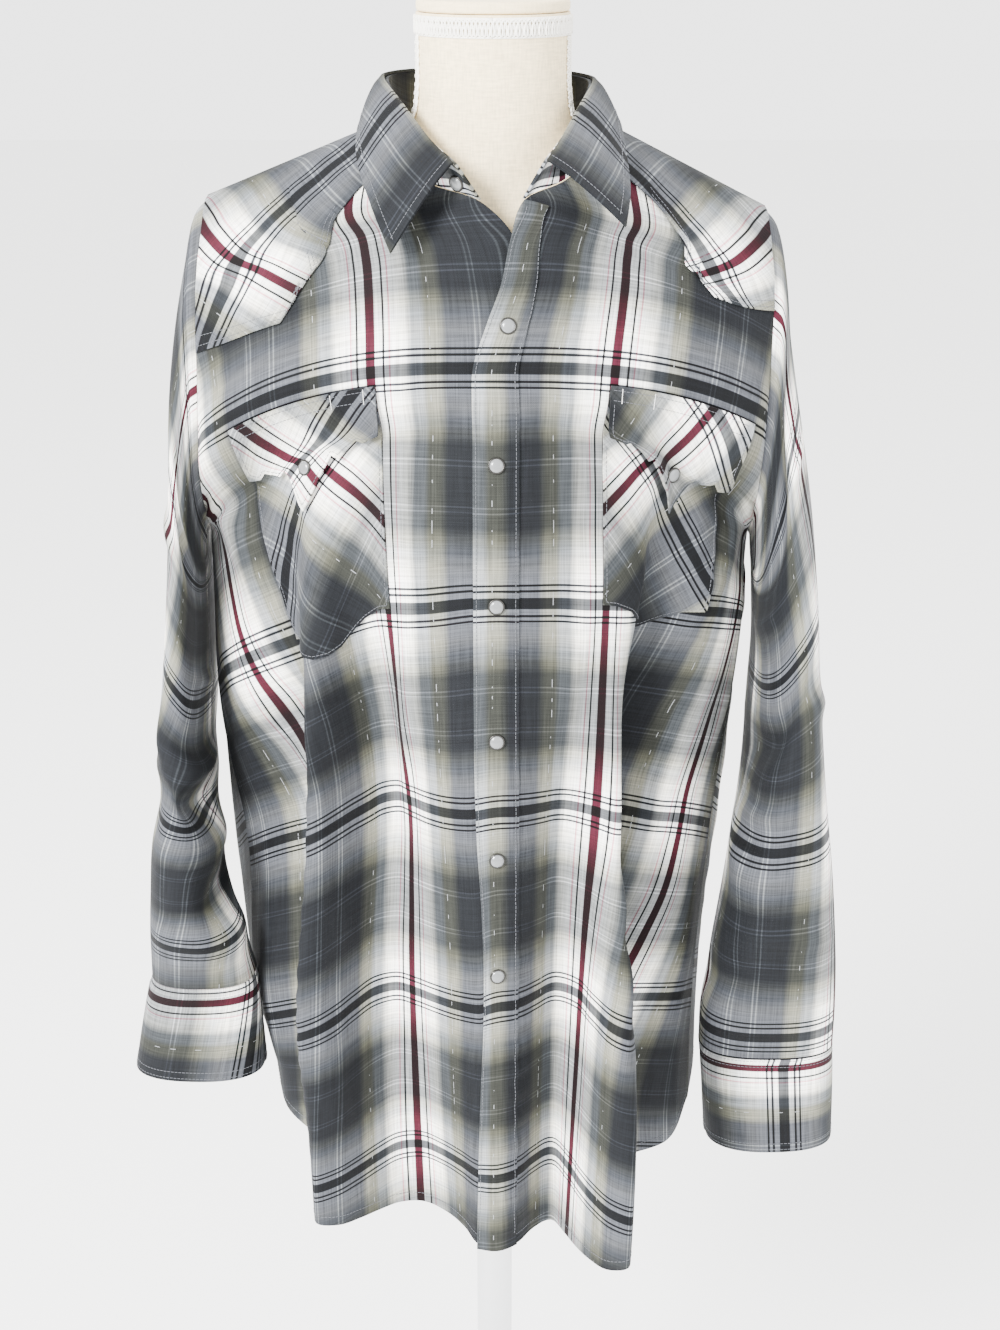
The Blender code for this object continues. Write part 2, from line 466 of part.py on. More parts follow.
def body_normals(points):
    """Normals of a half body panel, pointing out of the shirt."""
    normal = outward(points)
    normal[:, -1] += 2 * normal[:, -2]      # the armhole's edge leans as the cloth beside it
    normal[:, -1] /= np.linalg.norm(normal[:, -1], axis=1, keepdims=True)
    facing = np.sum(normal * points * [1, 1, 0])
    return normal if facing > 0 else -normal


# ---- meshes ----------------------------------------------------------------------
def material(name):
    """The finish of that name as a Principled material."""
    found = bpy.data.materials.get(name)
    if found:
        return found
    colour, roughness, metallic = FINISHES[name]
    made = bpy.data.materials.new(name)
    made.use_nodes = True
    shader = made.node_tree.nodes["Principled BSDF"]
    shader.inputs["Base Color"].default_value = (*colour, 1.0)
    shader.inputs["Roughness"].default_value = roughness
    shader.inputs["Metallic"].default_value = metallic
    made.diffuse_color = (*colour, 1.0)
    return made


def add_object(name, vertices, faces, finish):
    """A named object of one closed mesh, with its faces pointing out."""
    mesh = bpy.data.meshes.new(name)
    mesh.from_pydata([tuple(map(float, v)) for v in vertices], [], faces)
    work = bmesh.new()
    work.from_mesh(mesh)
    bmesh.ops.triangulate(work, faces=work.faces, quad_method="FIXED")
    bmesh.ops.recalc_face_normals(work, faces=work.faces)
    if work.calc_volume(signed=True) < 0:
        bmesh.ops.reverse_faces(work, faces=work.faces)
    work.to_mesh(mesh)
    work.free()
    mesh.materials.append(material(finish))
    mesh.shade_smooth()
    mesh.set_sharp_from_angle(angle=math.radians(40))
    placed = bpy.data.objects.new(name, mesh)
    bpy.context.scene.collection.objects.link(placed)
    return placed


def grid_quads(rows, cols, ring=False, start=0):
    """The quads of a grid of points; a ring's last column meets its first."""
    quads = []
    for r in range(rows - 1):
        for c in range(cols if ring else cols - 1):
            n = (c + 1) % cols
            a, b = start + r * cols, start + (r + 1) * cols
            quads.append((a + c, a + n, b + n, b + c))
    return quads


def turn_round(face):
    """The face seen from its other side, split along the same diagonal."""
    return (face[0],) + tuple(reversed(face[1:]))


def shell(name, outer, inner, quads, finish):
    """A closed wall: the outer quads, the inner ones turned round, and a rim between."""
    outer, inner = outer.reshape(-1, 3), inner.reshape(-1, 3)
    count = len(outer)
    edges = set()
    for quad in quads:
        edges.update(zip(quad, quad[1:] + quad[:1]))
    faces = list(quads) + [tuple(count + i for i in turn_round(quad)) for quad in quads]
    for a, b in sorted(edges):
        if (b, a) not in edges:
            faces.append((b, a, count + a, count + b))
    used = sorted({i for face in faces for i in face})
    place = {old: new for new, old in enumerate(used)}
    vertices = np.concatenate([outer, inner])[used]
    return add_object(name, vertices, [tuple(place[i] for i in face) for face in faces], finish)


def wall(name, outer, inner, finish, ring=False):
    """A thin closed wall between two grids of points."""
    rows, cols = outer.shape[:2]
    return shell(name, outer, inner, grid_quads(rows, cols, ring), finish)


def loft(name, rings, finish):
    """A solid through closed rings of points, with flat ends."""
    count, cols = rings.shape[:2]
    faces = grid_quads(count, cols, ring=True)
    faces.append(tuple(range(cols)))
    faces.append(tuple((count - 1) * cols + c for c in range(cols)))
    return add_object(name, rings.reshape(-1, 3), faces, finish)


def read_grid(grid, row, col):
    """A grid read between its rows and columns, as its flat facets lie."""
    rows, cols = grid.shape[:2]
    row, col = np.clip(row, 0, rows - 1), np.clip(col, 0, cols - 1)
    r, c = np.minimum(row.astype(int), rows - 2), np.minimum(col.astype(int), cols - 2)
    fr, fc = row - r, col - c
    if grid.ndim == 3:
        fr, fc = fr[..., None], fc[..., None]
    return ((grid[r, c] * (1 - fc) + grid[r, c + 1] * fc) * (1 - fr)
            + (grid[r + 1, c] * (1 - fc) + grid[r + 1, c + 1] * fc) * fr)


# ---- the body --------------------------------------------------------------------
PANELS = {}


def lay_out_body():
    """The grids of the fronts and the back's halves, with one normal where a side seam runs."""
    for side in ("right", "left"):
        front = body_grid(side, "front", FRONT_LEVELS, FRONT_COLUMNS)
        back = body_grid(side, "back", BACK_LEVELS, BACK_COLUMNS)
        out_front, out_back = body_normals(front[0]), body_normals(back[0])
        out_back[len(NECK_LEVELS) - 1:, 0, 0] = 0
        seam = sum(level >= FRONT_ARMPIT for level in FRONT_LEVELS)
        shared = out_front[-seam:, -1] + out_back[-seam:, -1]
        shared /= np.linalg.norm(shared, axis=1, keepdims=True)
        out_front[-seam:, -1] = out_back[-seam:, -1] = shared
        points = front[0]
        if side == "left":
            lift = (CLOTH + 4 * SEAM) * ease((0.050 - front[1]) / 0.030)
            points = points + out_front * lift[..., None]
        PANELS[side] = (points, out_front, front[1], front[2])
        PANELS["back_" + side] = (back[0], out_back, back[1], back[2])


def build_fronts():
    """The two fronts. The wearer's left one laps over the right one at the centre."""
    for side in ("right", "left"):
        points, normal = PANELS[side][:2]
        wall(f"front_{side}", points, points - normal * CLOTH, "plaid_shirting")


def joined_back(name, rows, gap):
    """A wall over both halves of the back, open at the neck and whole below it."""
    outer, inner, quads = [], [], []
    cols = len(BACK_COLUMNS)
    for start, side in ((0, "right"), (rows * cols, "left")):
        points, normal = (grid[:rows] for grid in PANELS["back_" + side][:2])
        base = points + normal * gap
        outer.append(base.reshape(-1, 3))
        inner.append((base - normal * CLOTH).reshape(-1, 3))
        turned = grid_quads(rows, cols, start=start)
        quads += turned if side == "left" else [turn_round(quad) for quad in turned]
    shared = {rows * cols + r * cols: r * cols for r in range(len(NECK_LEVELS) - 1, rows)}
    quads = [tuple(shared.get(i, i) for i in quad) for quad in quads]
    shell(name, np.concatenate(outer), np.concatenate(inner), quads, "plaid_shirting")


def build_back():
    """The back, in one piece from side seam to side seam, with its neckline cut out."""
    joined_back("back", len(BACK_LEVELS), 0.0)


# ---- sleeves ---------------------------------------------------------------------
def spread(points, count):
    """Points evenly spaced along a line of points, from its first to its last."""
    run = np.concatenate([[0], np.cumsum(np.linalg.norm(np.diff(points, axis=0), axis=1))])
    at = np.linspace(0, run[-1], count)
    return np.stack([np.interp(at, run, points[:, k]) for k in range(3)], axis=1)


def armhole(side):
    """The armhole's ring of points, from the shoulder down the front and up the back."""
    front_rows = sum(level <= FRONT_ARMPIT for level in FRONT_LEVELS)
    back_rows = sum(level <= BACK_ARMPIT for level in BACK_LEVELS)
    down = PANELS[side][0][:front_rows, -1]
    up = PANELS["back_" + side][0][:back_rows, -1][::-1]
    half = RING_POINTS // 2
    points = np.concatenate([spread(down, half + 1)[:-1], spread(up, half + 1)[:-1]])
    points[0, 1] = 0.0
    return points


def sleeve_ring(side, pick, i):
    """One hanging ring of a sleeve, from its outer line round the front and back again."""
    half = RING_POINTS // 2
    turn = np.linspace(0, math.pi, 91)
    power = 2.0 / pick["square"][i]
    swing = np.sign(np.cos(turn)) * np.abs(np.cos(turn)) ** power
    depth = np.abs(np.sin(turn)) ** power * pick["half_depth"][i]
    mid_x = (pick["out_x"][i] + pick["in_x"][i]) / 2 + (pick["out_x"][i] - pick["in_x"][i]) / 2 * swing
    mid_z = (pick["out_z"][i] + pick["in_z"][i]) / 2 + (pick["out_z"][i] - pick["in_z"][i]) / 2 * swing
    front = np.stack([SIGN[side] * mid_x, pick["y_mid"][i] - depth, mid_z], axis=1)
    back = np.stack([SIGN[side] * mid_x, pick["y_mid"][i] + depth, mid_z], axis=1)[::-1]
    return np.concatenate([spread(front, half + 1)[:-1], spread(back, half + 1)[:-1]])


def sleeve_levels(knots):
    """Places down the sleeve for its rings: close near the armhole, even below."""
    near = [knots[0], knots[1] * 0.5, knots[1], (knots[1] + knots[2]) / 2, knots[2]]
    rest = np.linspace(knots[2], knots[-1], SLEEVE_RINGS - len(near) + 1)[1:]
    return np.concatenate([near, rest])


def sleeve_points(side):
    """The sleeve's outer points and normals, with places down and round it."""
    rows = SLEEVE_SECTIONS[side]
    knots = column(rows, SLEEVE, "down")
    levels = sleeve_levels(knots)
    pick = {name: along(knots, column(rows, SLEEVE, name), levels) for name in SLEEVE}
    points = np.array([sleeve_ring(side, pick, i) for i in range(len(levels))])
    hole = armhole(side)
    inward = hole.mean(axis=0) - hole
    inward[:, 0] = 0
    inward /= np.linalg.norm(inward, axis=1, keepdims=True)
    hole = hole + inward * SEAM + np.array([SIGN[side] * SEAM, 0, 0])
    fade = 1 - ease(levels / knots[3])
    drift = hole - points[0]
    points = points + drift[None] * fade[:, None, None]
    normal = ring_normals(points, side)
    seam_length = np.linalg.norm(np.diff(points, axis=1, append=points[:, :1]), axis=2)
    around = np.concatenate([np.zeros((len(levels), 1)), np.cumsum(seam_length, axis=1)[:, :-1]], axis=1)
    lift = np.zeros(points.shape[:2])
    for row in CRUMPLES:
        fold = dict(zip(CRUMPLE, row))
        if fold["side"] != side:
            continue
        lean = math.radians(fold["lean_deg"])
        du = around - fold["around"]
        dv = levels[:, None] - fold["down"]
        reach = (du * math.cos(lean) + dv * math.sin(lean)) / fold["half_length"]
        width = (dv * math.cos(lean) - du * math.sin(lean)) / fold["half_width"]
        lift += fold["height"] * np.exp(-width ** 2) * np.maximum(1 - reach ** 2, 0) ** 2
    points = points + normal * (lift * ease(levels / 0.05)[:, None])[..., None]
    normal = ring_normals(points, side)
    normal[0] = -inward
    return points, normal, levels


def ring_normals(points, side):
    """Normals of a tube of rings, pointing away from its middle."""
    wrapped = np.concatenate([points[:, -1:], points, points[:, :1]], axis=1)
    round_way = np.gradient(wrapped, axis=1)[:, 1:-1]
    down_way = np.gradient(points, axis=0)
    normal = np.cross(round_way, down_way)
    normal /= np.maximum(np.linalg.norm(normal, axis=2, keepdims=True), 1e-12)
    out = points - points.mean(axis=1, keepdims=True)
    return normal if np.sum(normal * out) > 0 else -normal


def build_sleeves():
    """Two sleeves, each a tube from the armhole to the cuff."""
    for side in ("right", "left"):
        points, normal, _ = sleeve_points(side)
        PANELS["sleeve_" + side] = (points, normal)
        wall(f"sleeve_{side}", points, points - normal * CLOTH, "plaid_shirting", ring=True)


def build_cuffs():
    """Two cuffs, each a short tube below its sleeve."""
    for side in ("right", "left"):
        last = PANELS["sleeve_" + side][0][-1]
        normal = PANELS["sleeve_" + side][1][-1]
        top = dict(zip(CUFF, CUFFS[side][0]))
        low = dict(zip(CUFF, CUFFS[side][1]))
        turn = np.linspace(0, 2 * math.pi, RING_POINTS, endpoint=False)
        rings = []
        for share in (0.0, 0.04, 0.33, 0.67, 1.0):
            size = {k: top[k] + (low[k] - top[k]) * share for k in CUFF}
            power = 2.0 / 2.5
            cx = np.sign(np.cos(turn)) * np.abs(np.cos(turn)) ** power
            cy = np.sign(np.sin(turn)) * np.abs(np.sin(turn)) ** power
            rings.append(np.stack([size["x"] + SIGN[side] * size["half_width"] * cx,
                                   size["y"] - size["half_depth"] * cy,
                                   np.full(RING_POINTS, size["z"])], axis=1))
        rings = np.array(rings)
        rings[0] = last + np.array([0, 0, -2 * SEAM])
        out = ring_normals(rings, side)
        out[0] = normal
        PANELS["cuff_" + side] = (rings, out)
        wall(f"cuff_{side}", rings, rings - out * CUFF_CLOTH, "plaid_shirting", ring=True)


# ---- collar ----------------------------------------------------------------------
def neckline(side):
    """The neck edge of one side, from the back centre line to the front neck point."""
    back = PANELS["back_" + side][0][:len(NECK_LEVELS), 0][::-1]
    front = PANELS[side][0][:FRONT_LEVELS.index(0.0) + 1, 0]
    return np.concatenate([back, front[1:]])


def collar_curves(side):
    """The seam, the fold and the outer edge of the collar on one side."""
    rows = COLLAR_STATIONS[side]
    knots = np.linspace(0, 1, len(rows))
    at = np.linspace(0, 1, COLLAR_STEPS)
    pick = {name: along(knots, column(rows, COLLAR, name), at) for name in COLLAR}
    fold = np.stack([SIGN[side] * pick["top_x"], pick["top_y"], pick["top_z"]], axis=1)
    edge = np.stack([SIGN[side] * pick["edge_x"], pick["edge_y"], pick["edge_z"]], axis=1)
    seam = spread(neckline(side), COLLAR_STEPS)
    return seam, fold, edge


def whole(right, left):
    """A right half and a left half joined at the back centre line."""
    return np.concatenate([right[:, ::-1], left[:, 1:]], axis=1)


def build_collar():
    """The stand round the neck, and the leaf that folds down over it."""
    stands, leaves = {}, {}
    for side in ("right", "left"):
        seam, fold, edge = collar_curves(side)
        up = fold - seam
        up /= np.linalg.norm(up, axis=1, keepdims=True)
        foot = seam + up * 2 * SEAM
        rows = []
        for share in np.linspace(0, 1, STAND_ROWS + 1):
            rows.append(foot + (fold - foot) * share * STAND_SHARE)
        stands[side] = np.array(rows)
        spine = (edge - fold) / np.linalg.norm(edge - fold, axis=1, keepdims=True)
        out = np.cross(np.gradient(fold, axis=0), spine)
        out *= SIGN[side] * -1
        out /= np.linalg.norm(out, axis=1, keepdims=True)
        if np.sum(out * (edge * [1, 1, 0])) < 0:
            out = -out
        leaf = [fold + out * COLLAR_CLOTH * 0.9 + spine * -0.0005]
        for share, bulge in LEAF_PROFILE:
            leaf.append(fold + (edge - fold) * share + out * (COLLAR_CLOTH + bulge))
        leaves[side] = np.array(leaf)
    stand = whole(stands["right"], stands["left"])
    leaf = whole(leaves["right"], leaves["left"])
    for name, grid in (("collar_stand", stand), ("collar", leaf)):
        normal = outward(grid)
        if np.sum(normal * (grid * [1, 1, 0])) < 0:
            normal = -normal
        PANELS[name] = (grid, normal)
        wall(name, grid, grid - normal * COLLAR_CLOTH, "plaid_shirting")


# ---- pieces on the fronts --------------------------------------------------------
def crossing(side, col, edge):
    """The fractional row where a column of a front crosses an edge of the cloth."""
    across, down = PANELS[side][2:]
    rows = np.arange(len(down), dtype=float)
    cols = np.full(len(rows), float(col))
    limit = np.interp(read_grid(across, rows, cols), [e[0] for e in edge], [e[1] for e in edge])
    miss = read_grid(down, rows, cols) - limit
    after = int(np.argmax(miss > 0))
    if after == 0:
        return 0.0
    return after - 1 + miss[after - 1] / (miss[after - 1] - miss[after])


def strip_faces(left, right, first_left, first_right):
    """Faces between two columns of a patch, row for row, with triangles where one runs on."""
    faces, i, j = [], 0, 0
    while i < len(left) - 1 or j < len(right) - 1:
        next_left = left[i + 1] if i < len(left) - 1 else math.inf
        next_right = right[j + 1] if j < len(right) - 1 else math.inf
        a, b = first_left + i, first_right + j
        if min(next_left, next_right) > min(left[-1], right[-1]) + LONGEST_RUN:
            break
        if abs(next_left - next_right) < SAME_ROW:
            faces.append((a, b, b + 1, a + 1))
            i, j = i + 1, j + 1
        elif next_left < next_right:
            faces.append((a, b, a + 1))
            i += 1
        else:
            faces.append((a, b, b + 1))
            j += 1
    return faces


def patch(name, side, cols, top_edge, foot_edge, thickness, gap=OVERLAY_GAP, lift=0.0):
    """A piece sewn on a front: the front's own points between two edges, moved out."""
    places, first, faces = [], [], []
    for col in cols:
        top = crossing(side, col, top_edge) if top_edge else 0.0
        foot = crossing(side, col, foot_edge)
        rows = [r for r in range(len(FRONT_LEVELS)) if top + ROW_CLEAR < r < foot - ROW_CLEAR]
        first.append(len(places))
        places += [(row, col, ease((row - top) / (foot - top))) for row in [top, *rows, foot]]
    for c in range(len(cols) - 1):
        end = first[c + 2] if c + 2 < len(cols) else len(places)
        left = [p[0] for p in places[first[c]:first[c + 1]]]
        right = [p[0] for p in places[first[c + 1]:end]]
        faces += strip_faces(left, right, first[c], first[c + 1])
    row, col, share = (np.array(values, float) for values in zip(*places))
    base, out, across, down = (read_grid(grid, row, col) for grid in PANELS[side])
    out = out / np.linalg.norm(out, axis=1, keepdims=True)
    inner = base + out * (gap + lift * share[:, None])
    outer = inner + out * thickness
    PANELS[name] = (outer, out, across, down)
    shell(name, outer, inner, faces, "plaid_shirting")


def build_yokes():
    """Two front yokes with saw-toothed inner edges, and the back yoke."""
    last = len(FRONT_COLUMNS) - 1
    for side in ("right", "left"):
        patch(f"yoke_{side}", side, [*range(6), *np.arange(6, 9.1, 0.25), *range(10, last), last - 0.1],
              None, YOKE_FRONT[side], CLOTH, YOKE_GAP)
    rows = sum(level <= YOKE_BACK_DOWN for level in BACK_LEVELS)
    joined_back("yoke_back", rows, YOKE_GAP + CLOTH)


def build_placket():
    """The band down the edge of the lapping front."""
    points, normal = PANELS["left"][:2]
    first = FRONT_LEVELS.index(0.0)
    base, out = points[first:, :3], normal[first:, :3]
    outer, inner = base + out * (OVERLAY_GAP + CLOTH), base + out * OVERLAY_GAP
    PANELS["placket"] = (outer, out, PANELS["left"][2][first:, :3], PANELS["left"][3][first:, :3])
    wall("placket", outer, inner, "plaid_shirting")


def build_pockets():
    """Two chest pockets and their saw-toothed flaps."""
    first = FRONT_COLUMNS.index(POCKET_FOOT[0][0])
    last = FRONT_COLUMNS.index(POCKET_OUTER)
    for side in ("right", "left"):
        cols = np.arange(first, last + 0.1)
        top = ((0.0, POCKET_TOP), (0.3, POCKET_TOP))
        patch(f"pocket_{side}", side, cols, top, POCKET_FOOT, POCKET_CLOTH)
        top = ((0.0, FLAP_TOP), (0.3, FLAP_TOP))
        places = [np.interp(e[0], FRONT_COLUMNS[first:last + 1], range(first, last + 1))
                  for e in FLAP_EDGE]
        patch(f"pocket_flap_{side}", side, places, top, FLAP_EDGE, FLAP_CLOTH,
              gap=2 * OVERLAY_GAP + POCKET_CLOTH, lift=FLAP_LIFT[side])


def snap(name, place, normal):
    """A domed pearl cap in a thin metal ring, standing on the cloth."""
    normal = normal / np.linalg.norm(normal)
    first = np.cross(normal, [0.0, 0.0, 1.0])
    first /= np.linalg.norm(first)
    second = np.cross(normal, first)
    turn = np.linspace(0, 2 * math.pi, SNAP_SIDES, endpoint=False)
    rings = []
    for radius, height in SNAP_PROFILE:
        ring = (np.cos(turn)[:, None] * first + np.sin(turn)[:, None] * second) * radius * SNAP_RADIUS
        rings.append(place + normal * (SNAP_GAP + height * SNAP_HEIGHT) + ring)
    loft(name, np.array(rings), "pearl_snap")


def read_at(grid, row, col):
    """A grid of points read at one fractional place."""
    return read_grid(grid, np.array(float(row)), np.array(float(col)))


def build_snaps():
    """Six snaps down the placket, one on the stand and one on each flap."""
    for number, down in enumerate(FRONT_SNAPS, 1):
        outer, normal, _, v = PANELS["placket"]
        row = np.interp(down, v[:, 1], np.arange(len(v)))
        place = [float(row), 1.0]
        snap(f"snap_front_{number}", read_at(outer, *place), read_at(normal, *place))
    stand, normal = PANELS["collar_stand"]
    snap("snap_stand", read_at(stand, *STAND_SNAP), read_at(normal, *STAND_SNAP))
    for side in ("right", "left"):
        outer, normal, across, down = PANELS["pocket_flap_" + side]
        middle = np.isclose(across, FLAP_SNAP[0], atol=1e-5)
        place, out = ([np.interp(FLAP_SNAP[1], down[middle], grid[middle, k]) for k in range(3)]
                      for grid in (outer, normal))
        snap(f"snap_flap_{side}", np.array(place) + FLAP_SNAP_RISE[side] * np.array(out), np.array(out))


def build_form():
    """The dress form: torso and neck in one, the cap, the pole and the base."""
    turn = np.linspace(0, 2 * math.pi, FORM_POINTS, endpoint=False)
    rings = []
    for row in FORM_RINGS:
        ring = dict(zip(FORM, row))
        power = 2.0 / ring["square"]
        cx = np.sign(np.cos(turn)) * np.abs(np.cos(turn)) ** power
        cy = np.sign(np.sin(turn)) * np.abs(np.sin(turn)) ** power
        depth = np.where(cy < 0, -ring["y_front"], ring["y_back"])
        middle = np.where(cy < 0, ring["z_front"], ring["z_back"])
        rings.append(np.stack([ring["half_width"] * cx, depth * cy,
                               ring["z_side"] + (middle - ring["z_side"]) * cy ** 2], axis=1))
    loft("form_torso", np.array(rings), "cream_linen")
    for name, profile, finish in (("form_cap", CAP_PROFILE, "neck_cap_cloth"),
                                  ("form_pole", POLE_PROFILE, "pole_steel"),
                                  ("form_base", BASE_PROFILE, "base_enamel")):
        turned = [np.stack([radius * np.cos(turn), radius * np.sin(turn),
                            np.full(FORM_POINTS, height)], axis=1) for radius, height in profile]
        loft(name, np.array(turned), finish)


def main():
    """Builds the whole part."""
    for old in list(bpy.data.objects):
        bpy.data.objects.remove(old, do_unlink=True)
    lay_out_body()
    build_fronts()
    build_back()
    build_sleeves()
    build_cuffs()
    build_collar()
    build_yokes()
    build_placket()
    build_pockets()
    build_snaps()
    build_form()


if __name__ == "__main__":
    main()
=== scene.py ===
"""The finish of a western snap shirt on its dress form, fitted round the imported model.

Every cloth panel is worked out from the same sections and folds as its solid, then made
finer: creases, puckers and topstitching are added in cloth metres, "across" from the
front centre line and "down" from the front neck point. The plaid is woven in the same
metres, so it runs true over folds and is cut on the slant in yokes, pockets and flaps.
"""

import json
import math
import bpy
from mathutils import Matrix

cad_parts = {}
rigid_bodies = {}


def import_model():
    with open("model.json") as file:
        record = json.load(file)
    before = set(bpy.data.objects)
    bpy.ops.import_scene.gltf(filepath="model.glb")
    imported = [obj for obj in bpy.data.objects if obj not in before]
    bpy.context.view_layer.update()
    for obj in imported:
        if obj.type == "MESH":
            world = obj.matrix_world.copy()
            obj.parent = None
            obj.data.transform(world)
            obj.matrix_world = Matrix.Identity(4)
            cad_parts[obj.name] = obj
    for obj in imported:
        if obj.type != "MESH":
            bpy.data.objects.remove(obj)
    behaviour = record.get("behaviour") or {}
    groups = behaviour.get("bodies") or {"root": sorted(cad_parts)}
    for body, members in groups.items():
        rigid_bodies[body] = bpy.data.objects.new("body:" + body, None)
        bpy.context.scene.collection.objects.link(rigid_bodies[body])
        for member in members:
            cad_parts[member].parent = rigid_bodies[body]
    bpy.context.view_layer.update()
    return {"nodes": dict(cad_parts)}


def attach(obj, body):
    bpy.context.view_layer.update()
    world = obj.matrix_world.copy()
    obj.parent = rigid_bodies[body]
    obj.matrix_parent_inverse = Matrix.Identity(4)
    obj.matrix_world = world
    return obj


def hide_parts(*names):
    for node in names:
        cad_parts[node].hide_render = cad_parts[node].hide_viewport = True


bl_info = {
    "name": "Western Snap Shirt",
    "version": (1, 0, 0),
    "blender": (4, 5, 0),
    "location": "View3D > Sidebar > Shirt",
    "description": "Builds a plaid western snap shirt on a limbless dress form",
    "category": "Object",
}

import bmesh
import bpy
import numpy as np
from bpy.props import FloatProperty, FloatVectorProperty, PointerProperty
from mathutils import Matrix, Vector

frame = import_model()

# ---- cloth and seams, in metres ----
CLOTH = 0.0009            # shirting as it shows at an edge, with its turned allowance
COLLAR_CLOTH = 0.0018     # collar and stand: two layers and interlining
CUFF_CLOTH = 0.0016
SEAM = 0.0003             # gap between pieces that are sewn together
YOKE_GAP = 0.0010
OVERLAY_GAP = 0.0005      # gap between a panel and what is sewn on it
SOLID_CLOTH = 0.0012      # the wall of the solids, which sets how far the lapping front stands off
QUARTER_GIRTH = 0.310     # centre line to side seam, on the flat cloth
OVERLAP = {"right": 0.0140, "left": 0.0125}
SIGN = {"right": -1.0, "left": 1.0}
STEP = 0.004              # the mesh spacing of the panels
EVEN = 1e-9               # slack where one place on the cloth is tested against another
SIDES = ("right", "left")

# ---- body sections ----
# A row is one line of cloth from the centre line or neckline to the armhole or side.
SECTION = ("down_in", "down_out", "edge_r", "edge_l", "y_in", "z_in", "x_r", "x_l",
           "y_out", "z_r", "z_l", "square", "sag")
FRONT_SECTIONS = (
    (-0.085, -0.055, 0.072, 0.072, -0.0003, 1.222, 0.188, 0.179, -0.0003, 1.175, 1.168, 1.0, 1.0),
    (-0.076, -0.046, 0.0705, 0.0705, -0.01, 1.22, 0.189, 0.18, -0.009, 1.1725, 1.1655, 1.0, 1.0),
    (-0.045, -0.02, 0.06, 0.061, -0.04, 1.205, 0.191, 0.182, -0.025, 1.153, 1.146, 1.1, 1.0),
    (-0.02, 0.005, 0.04, 0.043, -0.062, 1.192, 0.193, 0.183, -0.036, 1.131, 1.124, 1.2, 1.1),
    (0.0, 0.022, 0.008, 0.019, -0.0755, 1.183, 0.194, 0.183, -0.042, 1.114, 1.108, 1.3, 1.2),
    (0.05, 0.062, -0.0105, 0.005, -0.091, 1.134, 0.195, 0.182, -0.048, 1.059, 1.076, 1.5, 2.5),
    (0.1, 0.1, -0.014, -0.0125, -0.105, 1.084, 0.196, 0.181, -0.05, 1.021, 1.038, 1.7, 2.7),
    (0.13, 0.13, -0.014, -0.0125, -0.113, 1.055, 0.198, 0.18, -0.038, 0.992, 0.996, 1.2, 2.2),
    (0.155, 0.155, -0.014, -0.0125, -0.119, 1.031, 0.2, 0.179, 0.004, 0.936, 0.934, 1.4, 2.7),
    (0.19, 0.19, -0.014, -0.0125, -0.127, 0.997, 0.2, 0.178, 0.006, 0.899, 0.908, 1.5, 2.7),
    (0.25, 0.25, -0.014, -0.0125, -0.1335, 0.9383, 0.2, 0.178, 0.008, 0.826, 0.88, 1.6, 1.6),
    (0.4, 0.4, -0.014, -0.0125, -0.145, 0.797, 0.191, 0.165, 0.006, 0.685, 0.713, 1.5, 1.6),
    (0.55, 0.49, -0.014, -0.0125, -0.157, 0.657, 0.184, 0.156, 0.004, 0.608, 0.637, 2.0, 1.55),
    (0.65, 0.535, -0.014, -0.0125, -0.162, 0.568, 0.176, 0.154, 0.003, 0.563, 0.585, 2.0, 1.85),
    (0.7, 0.552, -0.014, -0.0125, -0.164, 0.524, 0.172, 0.154, 0.003, 0.568, 0.565, 2.0, 1.95),
    (0.766, 0.57, -0.014, -0.0125, -0.166, 0.464, 0.168, 0.154, 0.003, 0.551, 0.548, 2.0, 2.05),
)
